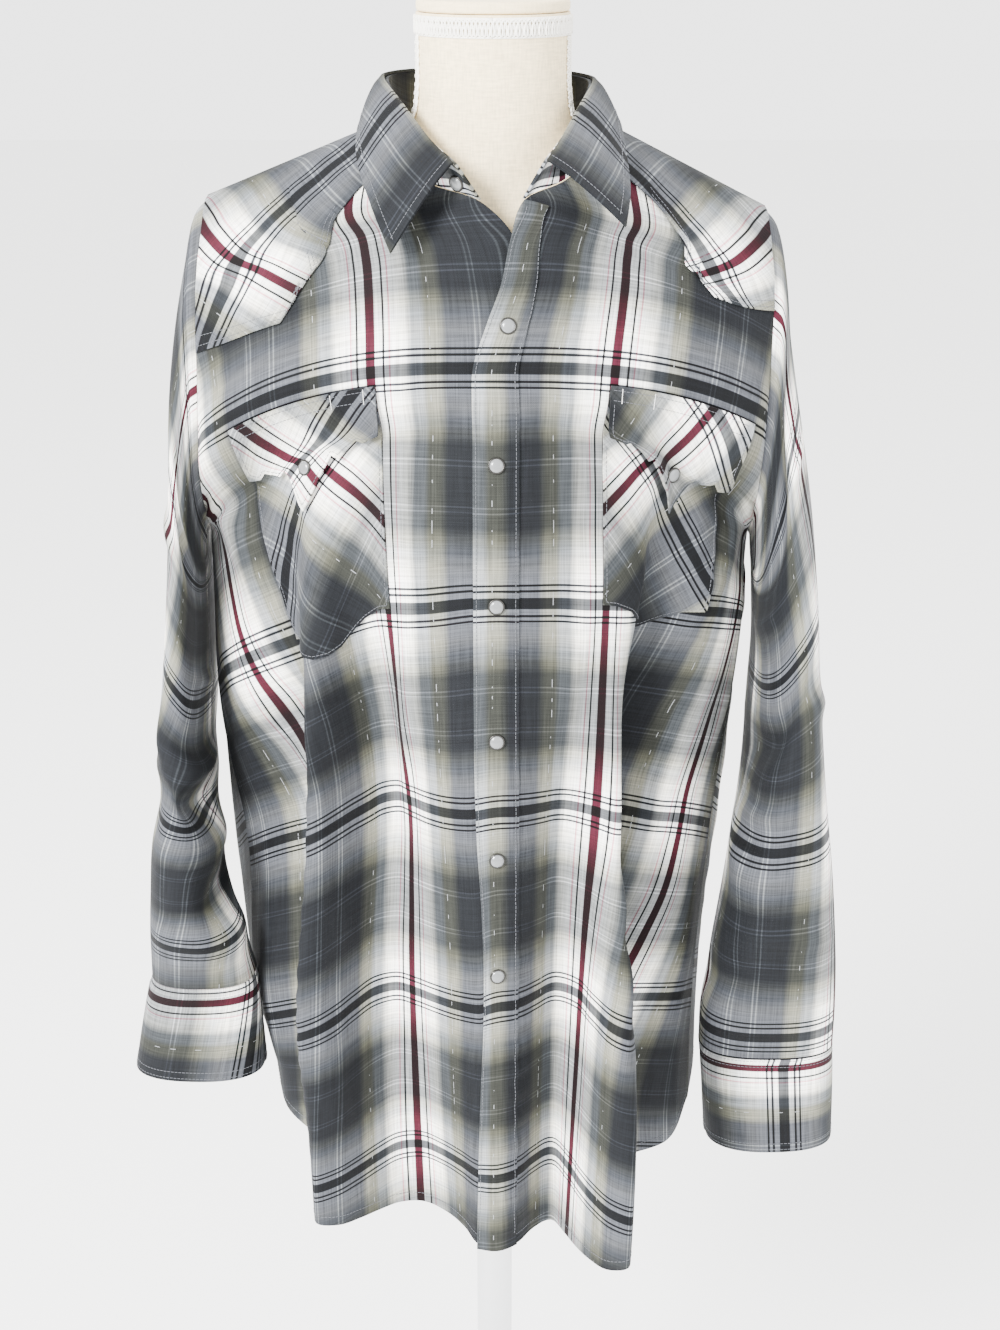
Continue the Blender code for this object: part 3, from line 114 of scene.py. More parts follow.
BACK_SECTIONS = (
    (-0.03, -0.008, 0.072, 0.072, 0.0003, 1.222, 0.188, 0.179, 0.0003, 1.175, 1.168, 1.0, 1.0),
    (-0.02, 0.001, 0.069, 0.069, 0.011, 1.2205, 0.189, 0.18, 0.01, 1.1725, 1.1655, 1.0, 1.0),
    (-0.004, 0.014, 0.046, 0.046, 0.043, 1.215, 0.19, 0.181, 0.022, 1.159, 1.152, 1.2, 1.0),
    (0.004, 0.026, 0.02, 0.02, 0.056, 1.213, 0.191, 0.182, 0.031, 1.148, 1.141, 1.4, 1.0),
    (0.01, 0.04, 0.0, 0.0, 0.059, 1.21, 0.192, 0.182, 0.039, 1.135, 1.128, 1.6, 1.1),
    (0.055, 0.075, 0.0, 0.0, 0.078, 1.169, 0.194, 0.182, 0.048, 1.1, 1.093, 1.8, 1.3),
    (0.105, 0.115, 0.0, 0.0, 0.094, 1.121, 0.196, 0.181, 0.052, 1.06, 1.053, 1.9, 1.5),
    (0.15, 0.155, 0.0, 0.0, 0.104, 1.077, 0.198, 0.18, 0.044, 1.008, 1.003, 2.1, 1.6),
    (0.18, 0.18, 0.0, 0.0, 0.109, 1.048, 0.2, 0.179, 0.004, 0.936, 0.934, 2.2, 2.2),
    (0.215, 0.215, 0.0, 0.0, 0.113, 1.013, 0.2, 0.178, 0.006, 0.899, 0.908, 2.3, 2.2),
    (0.275, 0.275, 0.0, 0.0, 0.118, 0.953, 0.2, 0.178, 0.008, 0.826, 0.88, 2.3, 1.6),
    (0.425, 0.425, 0.0, 0.0, 0.12, 0.803, 0.191, 0.165, 0.006, 0.685, 0.713, 2.2, 1.6),
    (0.575, 0.515, 0.0, 0.0, 0.124, 0.653, 0.184, 0.156, 0.004, 0.608, 0.637, 2.1, 1.55),
    (0.7, 0.56, 0.0, 0.0, 0.129, 0.529, 0.176, 0.154, 0.003, 0.563, 0.585, 2.1, 1.85),
    (0.77, 0.577, 0.0, 0.0, 0.132, 0.459, 0.172, 0.154, 0.003, 0.568, 0.565, 2.1, 1.95),
    (0.83, 0.595, 0.0, 0.0, 0.134, 0.399, 0.168, 0.154, 0.003, 0.551, 0.548, 2.1, 2.05),
)
SECTIONS = {"front": FRONT_SECTIONS, "back": BACK_SECTIONS}

# Rows and columns of the coarse grids, in cloth metres down and from the centre line.
FRONT_LEVELS = (-0.085, -0.076, -0.06, -0.045, -0.02, 0.0, 0.025, 0.05, 0.075, 0.1,
                0.12, 0.138, 0.155, 0.18, 0.207, 0.234, 0.262, 0.29, 0.325, 0.37, 0.42,
                0.47, 0.52, 0.57, 0.62, 0.67, 0.72, 0.766)
BACK_LEVELS_ABOVE = (-0.03, -0.02, -0.004, 0.004, 0.01, 0.035, 0.07, 0.105, 0.14)
FRONT_COLUMNS = (-0.0125, 0.002, 0.016, 0.035, 0.055, 0.075, 0.093, 0.111, 0.13, 0.148,
                 0.166, 0.184, 0.212, 0.244, 0.277, 0.31)
BACK_COLUMNS = (0.0, 0.026, 0.052, 0.078, 0.104, 0.13, 0.157, 0.184, 0.212, 0.244, 0.277, 0.31)
POCKET_OUTER = 0.184       # columns further out than the pocket take up the panel's spare width
BACK_NECK_LEVEL = 0.01     # rows of the back above this stop at the neckline
ARMPIT_ROW = 8             # the row of both section tables that meets at the underarm
BACK_EXTRA = 0.025         # how much further down the back's cloth is at the side seam
SEAM_SHARE = 0.51          # where the side seam lies between the two centre lines
OPENED_SHARE = 0.33        # how much of the neck's opening carries on into the front
OPENED_ABOVE = 0.085       # it grows over this much cloth above the neck point
NEAR_EDGE = 0.080          # the rest of it is taken up within this reach of the edge,
NEAR_ABOVE = 0.020         # and over this much cloth above the neck point
FIXED_BELOW = {"front": (-0.01, 0.11), "back": (0.01, 0.08)}    # see column_places
DENSE = 121                # steps along a line of cloth before its columns are read
FRONT_ARMPIT = 0.155
BACK_ARMPIT = 0.18

# ---- folds of the hanging body ----
# "across" is measured round the body from the front centre line: 0.31 is the side
# seam and 0.62 the back centre line. Height is out from the body, shift is sideways
# towards the front centre line.
FOLD = ("across_top", "across_hem", "down_start", "down_full", "half_width", "height", "shift")
FOLDS = {
    "right": (
        (0.032, 0.055, 0.169, 0.576, 0.032, 0.0, 0.028),
        (0.117, 0.078, 0.117, 0.384, 0.031, -0.04, -0.016),
        (0.148, 0.134, 0.114, 0.409, 0.032, 0.044, 0.001),
        (0.191, 0.169, 0.112, 0.369, 0.029, -0.031, 0.005),
        (0.365, 0.372, 0.32, 0.68, 0.03, 0.016, 0.0), (0.45, 0.462, 0.26, 0.7, 0.032, -0.018, 0.0),
        (0.545, 0.538, 0.3, 0.7, 0.034, 0.018, 0.004),
    ),
    "left": (
        (0.078, 0.037, 0.3, 0.576, 0.034, -0.029, -0.015),
        (0.144, 0.11, 0.28, 0.71, 0.04, 0.062, 0.028),
        (0.18, 0.147, 0.112, 0.341, 0.027, -0.038, 0.014),
        (0.163, 0.175, 0.25, 0.4, 0.02, -0.018, 0.008),
        (0.34, 0.345, 0.33, 0.68, 0.03, -0.014, 0.0), (0.43, 0.425, 0.28, 0.7, 0.034, 0.018, 0.0),
        (0.52, 0.515, 0.3, 0.7, 0.032, -0.016, 0.0),
    ),
}
FOLD_FREE = 0.03      # no fold reaches the centre line; they rise over this width
HEM_DOWN = 0.766

# ---- sleeves ----
# A ring hangs between an outer and an inner point and is twice half_depth front to back.
SLEEVE = ("down", "out_x", "out_z", "in_x", "in_z", "y_mid", "half_depth", "square")
SLEEVE_SECTIONS = {
    "right": (
        (0.0, 0.1883, 1.175, 0.2003, 0.936, 0.0, 0.051, 2.0),
        (0.012, 0.1965, 1.166, 0.2025, 0.933, 0.001, 0.053, 2.0),
        (0.038, 0.203, 1.141, 0.2035, 0.929, 0.002, 0.057, 2.0),
        (0.078, 0.212, 1.101, 0.2034, 0.924, 0.004, 0.06, 2.1),
        (0.125, 0.2185, 1.054, 0.2036, 0.917, 0.006, 0.064, 2.2),
        (0.175, 0.221, 1.005, 0.204, 0.905, 0.008, 0.069, 2.4),
        (0.235, 0.2245, 0.944, 0.2044, 0.88, 0.009, 0.074, 2.6),
        (0.3, 0.23, 0.88, 0.2048, 0.84, 0.008, 0.077, 2.8),
        (0.345, 0.2345, 0.836, 0.206, 0.802, 0.005, 0.078, 2.8),
        (0.385, 0.2375, 0.799, 0.206, 0.779, -0.008, 0.074, 2.6),
        (0.42, 0.237, 0.767, 0.202, 0.755, -0.022, 0.068, 2.5),
        (0.455, 0.243, 0.736, 0.199, 0.73, -0.04, 0.06, 2.5),
        (0.5, 0.245, 0.699, 0.192, 0.696, -0.056, 0.05, 2.5),
        (0.54, 0.247, 0.67, 0.185, 0.669, -0.06, 0.042, 2.5),
        (0.565, 0.248, 0.648, 0.179, 0.648, -0.06, 0.036, 2.5),
        (0.585, 0.249, 0.629, 0.174, 0.629, -0.058, 0.03, 2.6),
    ),
    "left": (
        (0.0, 0.1793, 1.168, 0.1793, 0.934, 0.0, 0.051, 2.0),
        (0.012, 0.187, 1.159, 0.181, 0.931, 0.001, 0.053, 2.0),
        (0.04, 0.1935, 1.132, 0.182, 0.926, 0.002, 0.057, 2.0),
        (0.085, 0.1995, 1.087, 0.1828, 0.919, 0.003, 0.062, 2.1),
        (0.145, 0.2095, 1.028, 0.184, 0.908, 0.002, 0.067, 2.2),
        (0.2, 0.218, 0.974, 0.185, 0.896, 0.0, 0.072, 2.4),
        (0.26, 0.224, 0.915, 0.187, 0.854, -0.004, 0.077, 2.6),
        (0.33, 0.229, 0.846, 0.185, 0.811, -0.01, 0.079, 2.8),
        (0.4, 0.235, 0.777, 0.18, 0.762, -0.026, 0.07, 2.8),
        (0.47, 0.242, 0.71, 0.168, 0.703, -0.05, 0.056, 2.6),
        (0.53, 0.246, 0.653, 0.157, 0.651, -0.066, 0.044, 2.5),
        (0.57, 0.248, 0.615, 0.151, 0.614, -0.068, 0.037, 2.5),
        (0.605, 0.249, 0.576, 0.151, 0.576, -0.064, 0.031, 2.6),
    ),
}
# Crumples of the sleeve: where they lie, their lean, their reach and their height.
CRUMPLE = ("down", "around", "lean_deg", "half_length", "half_width", "height")
CRUMPLES = {
    "right": (
        (0.372, 0.12, 12.0, 0.085, 0.016, 0.009), (0.412, 0.12, 18.0, 0.085, 0.016, -0.012),
        (0.452, 0.115, 8.0, 0.08, 0.016, 0.008), (0.496, 0.1, -14.0, 0.075, 0.017, -0.007),
        (0.54, 0.095, 6.0, 0.07, 0.016, 0.006), (0.13, 0.12, 62.0, 0.09, 0.02, -0.004),
    ),
    "left": (
        (0.105, 0.11, 64.0, 0.095, 0.018, -0.006), (0.33, 0.12, 34.0, 0.09, 0.02, -0.007),
        (0.45, 0.125, -28.0, 0.08, 0.02, 0.006), (0.54, 0.11, 24.0, 0.07, 0.018, -0.006),
    ),
}
RING_POINTS = 96

# Cuff: centre x, y and z, half width and half depth, at its top and its lower edge.
CUFF = ("x", "y", "z", "half_width", "half_depth")
CUFFS = {
    "right": ((-0.2115, -0.058, 0.628, 0.0385, 0.0285), (-0.218, -0.056, 0.551, 0.048, 0.031)),
    "left": ((0.2, -0.064, 0.575, 0.049, 0.029), (0.206, -0.06, 0.493, 0.0475, 0.031)),
}

# ---- collar ----
# Stations run from the back centre line to the front end, on one side.
COLLAR = ("top_x", "top_y", "top_z", "edge_x", "edge_y", "edge_z")
COLLAR_STATIONS = {
    "right": (
        (0.0, 0.06, 1.25, 0.0, 0.09, 1.21),
        (0.038, 0.052, 1.252, 0.05, 0.078, 1.212),
        (0.066, 0.026, 1.252, 0.081, 0.038, 1.219),
        (0.069, 0.0, 1.249, 0.086, -0.006, 1.22),
        (0.057, -0.03, 1.237, 0.085, -0.048, 1.203),
        (0.04, -0.058, 1.219, 0.075, -0.078, 1.179),
        (0.024, -0.079, 1.206, 0.0625, -0.1005, 1.154),
    ),
    "left": (
        (0.0, 0.06, 1.25, 0.0, 0.09, 1.21),
        (0.036, 0.052, 1.251, 0.049, 0.078, 1.211),
        (0.06, 0.026, 1.25, 0.074, 0.038, 1.217),
        (0.063, 0.0, 1.247, 0.08, -0.006, 1.224),
        (0.054, -0.03, 1.235, 0.084, -0.044, 1.204),
        (0.043, -0.056, 1.219, 0.085, -0.074, 1.187),
        (0.033, -0.077, 1.207, 0.0815, -0.099, 1.17),
    ),
}
STAND_ROWS = 10
STAND_SHARE = 0.97         # the stand ends just under the fold
COLLAR_STEPS = 73
# How far down the leaf a row lies, and how far it stands off the straight line.
LEAF_PROFILE = ((0.05, 0.0016), (0.25, 0.0032), (0.6, 0.003), (1.0, 0.0008))

# ---- pieces sewn on the fronts ----
# Edges in cloth metres: across from the centre line, then down.
YOKE_FRONT = {
    "right": ((0.07, -0.03), (0.086, -0.01), (0.104, 0.016), (0.108, 0.03), (0.114, 0.036),
              (0.119, 0.052), (0.135, 0.055), (0.165, 0.051), (0.205, 0.046), (0.26, 0.044)),
    "left": ((0.072, -0.04), (0.09, -0.028), (0.112, 0.0), (0.118, 0.014), (0.126, 0.018),
             (0.131, 0.031), (0.14, 0.035), (0.155, 0.033), (0.18, 0.024), (0.215, 0.012),
             (0.26, 0.008)),
}
YOKE_BACK_DOWN = 0.105
POCKET_SIDES = (0.075, 0.184)
POCKET_TOP = 0.111
POCKET_FOOT = ((0.075, 0.25), (0.085, 0.2503), (0.1, 0.2545), (0.112, 0.261), (0.122, 0.2665),
               (0.132, 0.268), (0.142, 0.266), (0.154, 0.2595), (0.168, 0.2525), (0.184, 0.25))
FLAP_TOP = 0.108
FLAP_EDGE = ((0.075, 0.142), (0.086, 0.147), (0.091, 0.143), (0.104, 0.157), (0.109, 0.153),
             (0.121, 0.174), (0.13, 0.187), (0.139, 0.174), (0.151, 0.153), (0.156, 0.157),
             (0.169, 0.143), (0.174, 0.147), (0.184, 0.142))
FLAP_LIFT = {"right": 0.004, "left": 0.008}    # how far a flap's foot stands off its pocket
POCKET_CLOTH = 0.0011
FLAP_CLOTH = 0.0012

# ---- dress form ----
FORM = ("half_width", "z_side", "y_front", "z_front", "y_back", "z_back", "square")
FORM_RINGS = (
    (0.0495, 1.292, -0.0495, 1.292, 0.0495, 1.292, 2.0),
    (0.0495, 1.25, -0.0495, 1.244, 0.048, 1.246, 2.0),
    (0.052, 1.232, -0.05, 1.208, 0.047, 1.22, 2.0),
    (0.06, 1.2205, -0.05, 1.19, 0.047, 1.206, 2.0),
    (0.082, 1.2127, -0.052, 1.1737, 0.049, 1.1917, 2.0),
    (0.103, 1.2027, -0.057, 1.1537, 0.053, 1.1717, 2.0),
    (0.123, 1.1922, -0.064, 1.1337, 0.058, 1.1457, 2.0),
    (0.14, 1.1797, -0.072, 1.1087, 0.064, 1.1137, 2.0),
    (0.149, 1.15, -0.082, 1.076, 0.07, 1.078, 2.0),
    (0.153, 1.116, -0.088, 1.042, 0.076, 1.042, 2.0),
    (0.146, 1.06, -0.088, 1.0, 0.08, 1.002, 2.0),
    (0.134, 0.99, -0.082, 0.956, 0.082, 0.96, 2.0),
    (0.124, 0.91, -0.07, 0.9, 0.078, 0.9, 2.0),
    (0.118, 0.83, -0.066, 0.83, 0.074, 0.83, 2.1),
    (0.122, 0.75, -0.062, 0.75, 0.082, 0.75, 2.1),
    (0.126, 0.67, -0.06, 0.67, 0.088, 0.67, 2.1),
    (0.124, 0.63, -0.059, 0.63, 0.086, 0.63, 2.1),
    (0.116, 0.62, -0.054, 0.62, 0.08, 0.62, 2.1),
)

# ---- cut of the plaid ----
# Where each piece's warp and weft lie: a place of the piece, across and down, the slant of
# its warp in degrees, and the weave's own place there, warp and weft. The maroon warp
# stripe lies at 78 mm, a weft bar at 100 mm.
BACK_CUT = (0.0, 0.0, 0.0, 0.0, 0.0)
YOKE_BACK_CUT = (0.0, 0.0, 90.0, 0.02, 0.175)
YOKE_CUT = {"right": (0.15, 0.0095, 43.0, 0.078, 0.108),
            "left": (0.1546, -0.0095, 45.0, 0.078, 0.072)}
POCKET_CUT = {"right": (0.0925, 0.183, 48.0, 0.078, 0.139),
              "left": (0.098, 0.1695, 47.0, 0.078, 0.12)}
FLAP_CUT = {"right": (0.142, 0.145, 42.0, 0.078, 0.091),
            "left": (0.131, 0.135, 33.0, 0.078, 0.132)}
STAND_CUT = (0.0, 0.0, 12.0, 0.06, 0.13)
LEAF_CUT = (0.139, 0.0, 90.0, -0.034, 0.1)
PLACKET_WARP = 0.117       # the band is cut from a paler stretch than the front under it
# A cuff's warp and weft. On a sleeve the warp also drifts round as it goes down, and the
# weft takes in the cloth that lies gathered above the cuff.
CUFF_CUT = {"right": (0.066, -0.003), "left": (0.069, 0.0448)}
SLEEVE_CUT = {"right": (-0.056, -0.076, 0.31, 0.085), "left": (0.0004, -0.037, 0.108, 0.0)}
SLEEVE_PULL = 0.034        # how far the sleeves' weft is drawn up in front by the armhole

# ---- listed creases ----
# Creases smaller than the folds of the body. A bow bends one between its ends.
CREASE = ("across", "down", "lean_deg", "half_length", "half_width", "bow", "height")
CREASES = {
    "front_right": (
        (0.232, 0.15, 128.0, 0.09, 0.01, 0.6, 0.0036),
        (0.215, 0.185, 118.0, 0.11, 0.011, -0.8, 0.003),
        (0.055, 0.1, 74.0, 0.06, 0.009, 0.5, 0.0014),
        (0.048, 0.215, 98.0, 0.075, 0.01, 0.7, 0.0018),
        (0.07, 0.33, 80.0, 0.1, 0.012, -0.6, 0.0024),
        (0.11, 0.452, 100.0, 0.11, 0.012, 0.5, 0.0022),
        (0.235, 0.33, 108.0, 0.13, 0.013, -0.7, 0.0032),
        (0.268, 0.42, 84.0, 0.12, 0.012, 0.6, 0.0026), (0.15, 0.6, 92.0, 0.08, 0.011, 0.5, 0.002),
    ),
    "front_left": (
        (0.226, 0.14, 124.0, 0.085, 0.01, -0.7, 0.0036),
        (0.205, 0.2, 112.0, 0.12, 0.011, 0.8, 0.0028),
        (0.052, 0.145, 82.0, 0.07, 0.009, -0.5, 0.0016),
        (0.058, 0.285, 101.0, 0.09, 0.011, 0.6, 0.0022),
        (0.098, 0.395, 86.0, 0.11, 0.012, -0.6, 0.0024),
        (0.216, 0.36, 97.0, 0.13, 0.013, 0.7, 0.003),
        (0.262, 0.3, 110.0, 0.09, 0.012, -0.5, 0.0028), (0.12, 0.56, 95.0, 0.09, 0.011, 0.6, 0.002),
    ),
    "back_right": (
        (0.06, 0.18, 84.0, 0.12, 0.014, 0.6, 0.0026), (0.13, 0.26, 96.0, 0.16, 0.016, -0.8, 0.0034),
        (0.21, 0.23, 64.0, 0.09, 0.012, 0.6, 0.0034), (0.085, 0.43, 88.0, 0.17, 0.016, 0.7, 0.003),
        (0.19, 0.5, 99.0, 0.14, 0.014, -0.6, 0.003), (0.04, 0.62, 91.0, 0.11, 0.013, 0.5, 0.0024),
    ),
    "back_left": (
        (0.05, 0.21, 97.0, 0.13, 0.014, -0.6, 0.0026),
        (0.145, 0.24, 86.0, 0.14, 0.015, 0.8, 0.0034),
        (0.22, 0.25, 60.0, 0.085, 0.012, -0.6, 0.0034),
        (0.105, 0.47, 94.0, 0.16, 0.016, -0.7, 0.003), (0.205, 0.44, 84.0, 0.13, 0.014, 0.6, 0.003),
        (0.07, 0.65, 88.0, 0.11, 0.013, -0.5, 0.0022),
    ),
}
CREASE_GAIN = 1.5          # how much deeper the creases lie than their table says
CREASE_MARGIN = 0.02       # they fade out this close to the side seam and the armhole
# Seam puckers: short waves in the cloth beside a row of stitches.
PUCKER = ("across", "reach", "length", "height")
PUCKERS = {
    "front_right": (
        (0.02, 0.014, 0.026, 0.0004), (0.19, 0.01, 0.022, 0.0006),
    ),
    "front_left": (
        (0.018, 0.012, 0.021, 0.0006), (0.19, 0.01, 0.024, 0.0006),
    ),
    "back_right": (
        (0.235, 0.03, 0.031, 0.0005),
    ),
    "back_left": (
        (0.235, 0.03, 0.034, 0.0005),
    ),
}
# Small crumples of the sleeves, in the columns of the larger ones.
FINE_CRUMPLES = {
    "right": (
        (0.12, 0.12, 14.0, 0.06, 0.008, 0.0026), (0.205, 0.06, -18.0, 0.07, 0.009, 0.003),
        (0.3, 0.15, 22.0, 0.06, 0.008, 0.0028), (0.385, 0.08, -12.0, 0.075, 0.009, 0.003),
        (0.47, 0.11, 28.0, 0.055, 0.008, 0.0026), (0.165, 0.29, 12.0, 0.07, 0.009, 0.0028),
        (0.345, 0.31, -16.0, 0.08, 0.01, 0.003),
    ),
    "left": (
        (0.13, 0.08, -16.0, 0.06, 0.008, 0.0026), (0.215, 0.14, 18.0, 0.065, 0.009, 0.003),
        (0.33, 0.06, -24.0, 0.06, 0.008, 0.003), (0.405, 0.12, 15.0, 0.06, 0.009, 0.003),
        (0.5, 0.07, -12.0, 0.055, 0.008, 0.0024), (0.19, 0.3, -14.0, 0.07, 0.009, 0.0028),
        (0.37, 0.29, 17.0, 0.075, 0.01, 0.003),
    ),
}
LEAF_ROWS = tuple(np.linspace(0.02, 1.0, 26))    # how far down the leaf its rows lie

# ---- stitches, turned parts and stage ----
THREAD_WIDTH = 0.00036
THREAD_HEIGHT = 0.00022
THREAD_LIFT = 0.0001       # how far a seam's line stands off the cloth
PLACKET_EDGE = 0.0161      # the band's inner edge, across from the centre line
PLACKET_STITCHES = (0.002, 0.0022)    # in from the placket's free edge and its inner edge
YOKE_STITCHES = (0.003, 0.008)        # up from the yoke's edge
POCKET_STITCH = 0.002
FLAP_STITCHES = (0.0022, 0.008)       # down from the flap's top
FLAP_EDGE_STITCH = 0.0035
BAR_TACKS = (0.083, 0.1055)           # either side of the slot for a pen
HEM_STITCH = 0.007
COLLAR_STITCH = 0.006
CUFF_STITCHES = (0.0025, 0.008, -0.0075, -0.0025)    # from the cuff's top, and up from its foot
SNAP_CAP, SNAP_RING, SNAP_WIRE = 0.82, 0.90, 0.14    # radii, as shares of the whole snap's
BRAID_TOP = 1.2845         # the middle of the braid round the neck
BRAID_EDGES = (1.29, 1.2788)
BRAID_LOOP = 0.0052        # half the height of its loops
BRAID_ROUND = 0.05         # the radius at which the loops are spaced
BRAID_LEAN = 0.42          # how far a loop leans over itself, as a share of the pitch
BRAID_SEAM = 1.279         # where the braid starts down the neck's seams, at this angle:
BRAID_SEAM_ANGLE = 1.32
BRAID_SEAM_LOOP = 0.0038   # half the width of its loops there
BRAID_SEAM_LENGTH = 0.052
BRAID_CORD = 0.00072
NECK_SKIN = ((1.218, 0.056), (1.235, 0.0505), (1.25, 0.049), (1.292, 0.049))    # height, radius
NECK_RADIUS = 0.0495
NECK_TOP = 1.292
CAP_TOP = 1.3
TORSO_BOTTOM = 0.62
POLE_RADIUS = 0.014
BASE_RADIUS = 0.165
BASE_HEIGHT = 0.016
BOSS_RADIUS = 0.034
BOSS_HEIGHT = 0.01
CAMERA_PLACE = (0.0044, -1.3435, 1.36)
CAMERA_TILT = 69.0         # degrees up from looking straight down
LENS = 54.135              # mm, on a sensor 36 mm wide
SKY_STRENGTH = 3.4
# name, place, aim, size and power of the soft lights
LIGHTS = (
    ("key_light", (-1.9, -2.4, 2.5), (0.0, 0.0, 0.95), 1.2, 540.0),
    ("fill_light", (2.2, -2.2, 1.6), (0.0, 0.0, 0.9), 2.0, 45.0),
    ("top_light", (0.3, 0.8, 3.2), (0.0, 0.0, 1.0), 1.4, 50.0),
)


# ---- working out the cloth ----
def column(rows, names, name):
    """One named column of a table as an array."""
    place = names.index(name)
    return np.array([row[place] for row in rows], float)


def along(knots, values, at):
    """A smooth curve through the values at the knots, read at the given places."""
    knots, values = np.asarray(knots, float), np.asarray(values, float)
    at = np.clip(np.asarray(at, float), knots[0], knots[-1])
    slope = np.empty_like(values)
    wide = (-1,) + (1,) * (values.ndim - 1)
    slope[1:-1] = (values[2:] - values[:-2]) / (knots[2:] - knots[:-2]).reshape(wide)
    slope[0] = (values[1] - values[0]) / (knots[1] - knots[0])
    slope[-1] = (values[-1] - values[-2]) / (knots[-1] - knots[-2])
    first = np.clip(np.searchsorted(knots, at, side="right") - 1, 0, len(knots) - 2)
    step = (knots[first + 1] - knots[first]).reshape(wide)
    t = (at - knots[first]).reshape(wide) / step
    return ((1 + 2 * t) * (1 - t) ** 2 * values[first] + t * (1 - t) ** 2 * step * slope[first]
            + t * t * (3 - 2 * t) * values[first + 1] + t * t * (t - 1) * step * slope[first + 1])


def ease(value):
    """0 below 0, 1 above 1 and a smooth rise between."""
    value = np.clip(value, 0.0, 1.0)
    return value * value * (3 - 2 * value)


def unit(vectors):
    """The vectors at length one."""
    return vectors / np.maximum(np.linalg.norm(vectors, axis=-1, keepdims=True), 1e-12)


def run_of(points):
    """How far along a line of points each one lies."""
    return np.concatenate([[0], np.cumsum(np.linalg.norm(np.diff(points, axis=0), axis=1))])


def named(names, rows):
    """The rows of a table with their columns named."""
    return [dict(zip(names, row)) for row in rows]


def rounded(turn, square):
    """The cosine and sine of a turn: a circle where square is 2, and boxier where it is more."""
    return [np.sign(wave) * np.abs(wave) ** (2.0 / square) for wave in (np.cos(turn), np.sin(turn))]


def fold_offsets(side, across, down):
    """How far the folds push the cloth out, and sideways, at a place of the body."""
    out = np.zeros_like(across)
    sideways = np.zeros_like(across)
    for fold in named(FOLD, FOLDS[side]):
        share = np.clip((down - fold["down_start"]) / (HEM_DOWN - fold["down_start"]), 0, 1)
        middle = fold["across_top"] + (fold["across_hem"] - fold["across_top"]) * share
        growth = ease((down - fold["down_start"]) / (fold["down_full"] - fold["down_start"]))
        bump = np.exp(-((across - middle) / fold["half_width"]) ** 2) * growth
        bump = bump * ease(across / FOLD_FREE)
        out += fold["height"] * bump
        sideways += fold["shift"] * bump
    return out, sideways


def quarter(side, face, level):
    """The unfolded line of cloth from the centre line, or the neck edge, to the side."""
    rows = SECTIONS[face]
    if level >= rows[ARMPIT_ROW][0]:
        rows = rows[ARMPIT_ROW:]
    knots = column(rows, SECTION, "down_in")
    pick = {name: float(along(knots, column(rows, SECTION, name), [level])[0]) for name in SECTION}
    start = max(pick["edge_" + side[0]], 0.0)
    x_out, z_out = pick["x_" + side[0]], pick["z_" + side[0]]
    inward, sideways = rounded(np.linspace(0, math.pi / 2, DENSE), max(pick["square"], 1.0))
    x = start + (x_out - start) * sideways
    y = pick["y_out"] + (pick["y_in"] - pick["y_out"]) * inward
    run = run_of(np.stack([x, y], axis=1))
    share = run / run[-1]
    fall = share ** pick["sag"]
    z = pick["z_in"] + (z_out - pick["z_in"]) * fall
    v = pick["down_in"] + (pick["down_out"] - pick["down_in"]) * fall
    return np.stack([x, y, z, v, share * QUARTER_GIRTH], axis=1), pick["edge_" + side[0]]


def paired(face, level):
    """The level of the other face whose line of cloth meets this one at the side."""
    other = "back" if face == "front" else "front"
    mine = column(SECTIONS[face], SECTION, "down_in")[ARMPIT_ROW:]
    theirs = column(SECTIONS[other], SECTION, "down_in")[ARMPIT_ROW:]
    return float(np.interp(level, mine, theirs))


BACK_LEVELS = BACK_LEVELS_ABOVE + tuple(paired("front", level) for level in FRONT_LEVELS
                                        if level >= FRONT_ARMPIT)


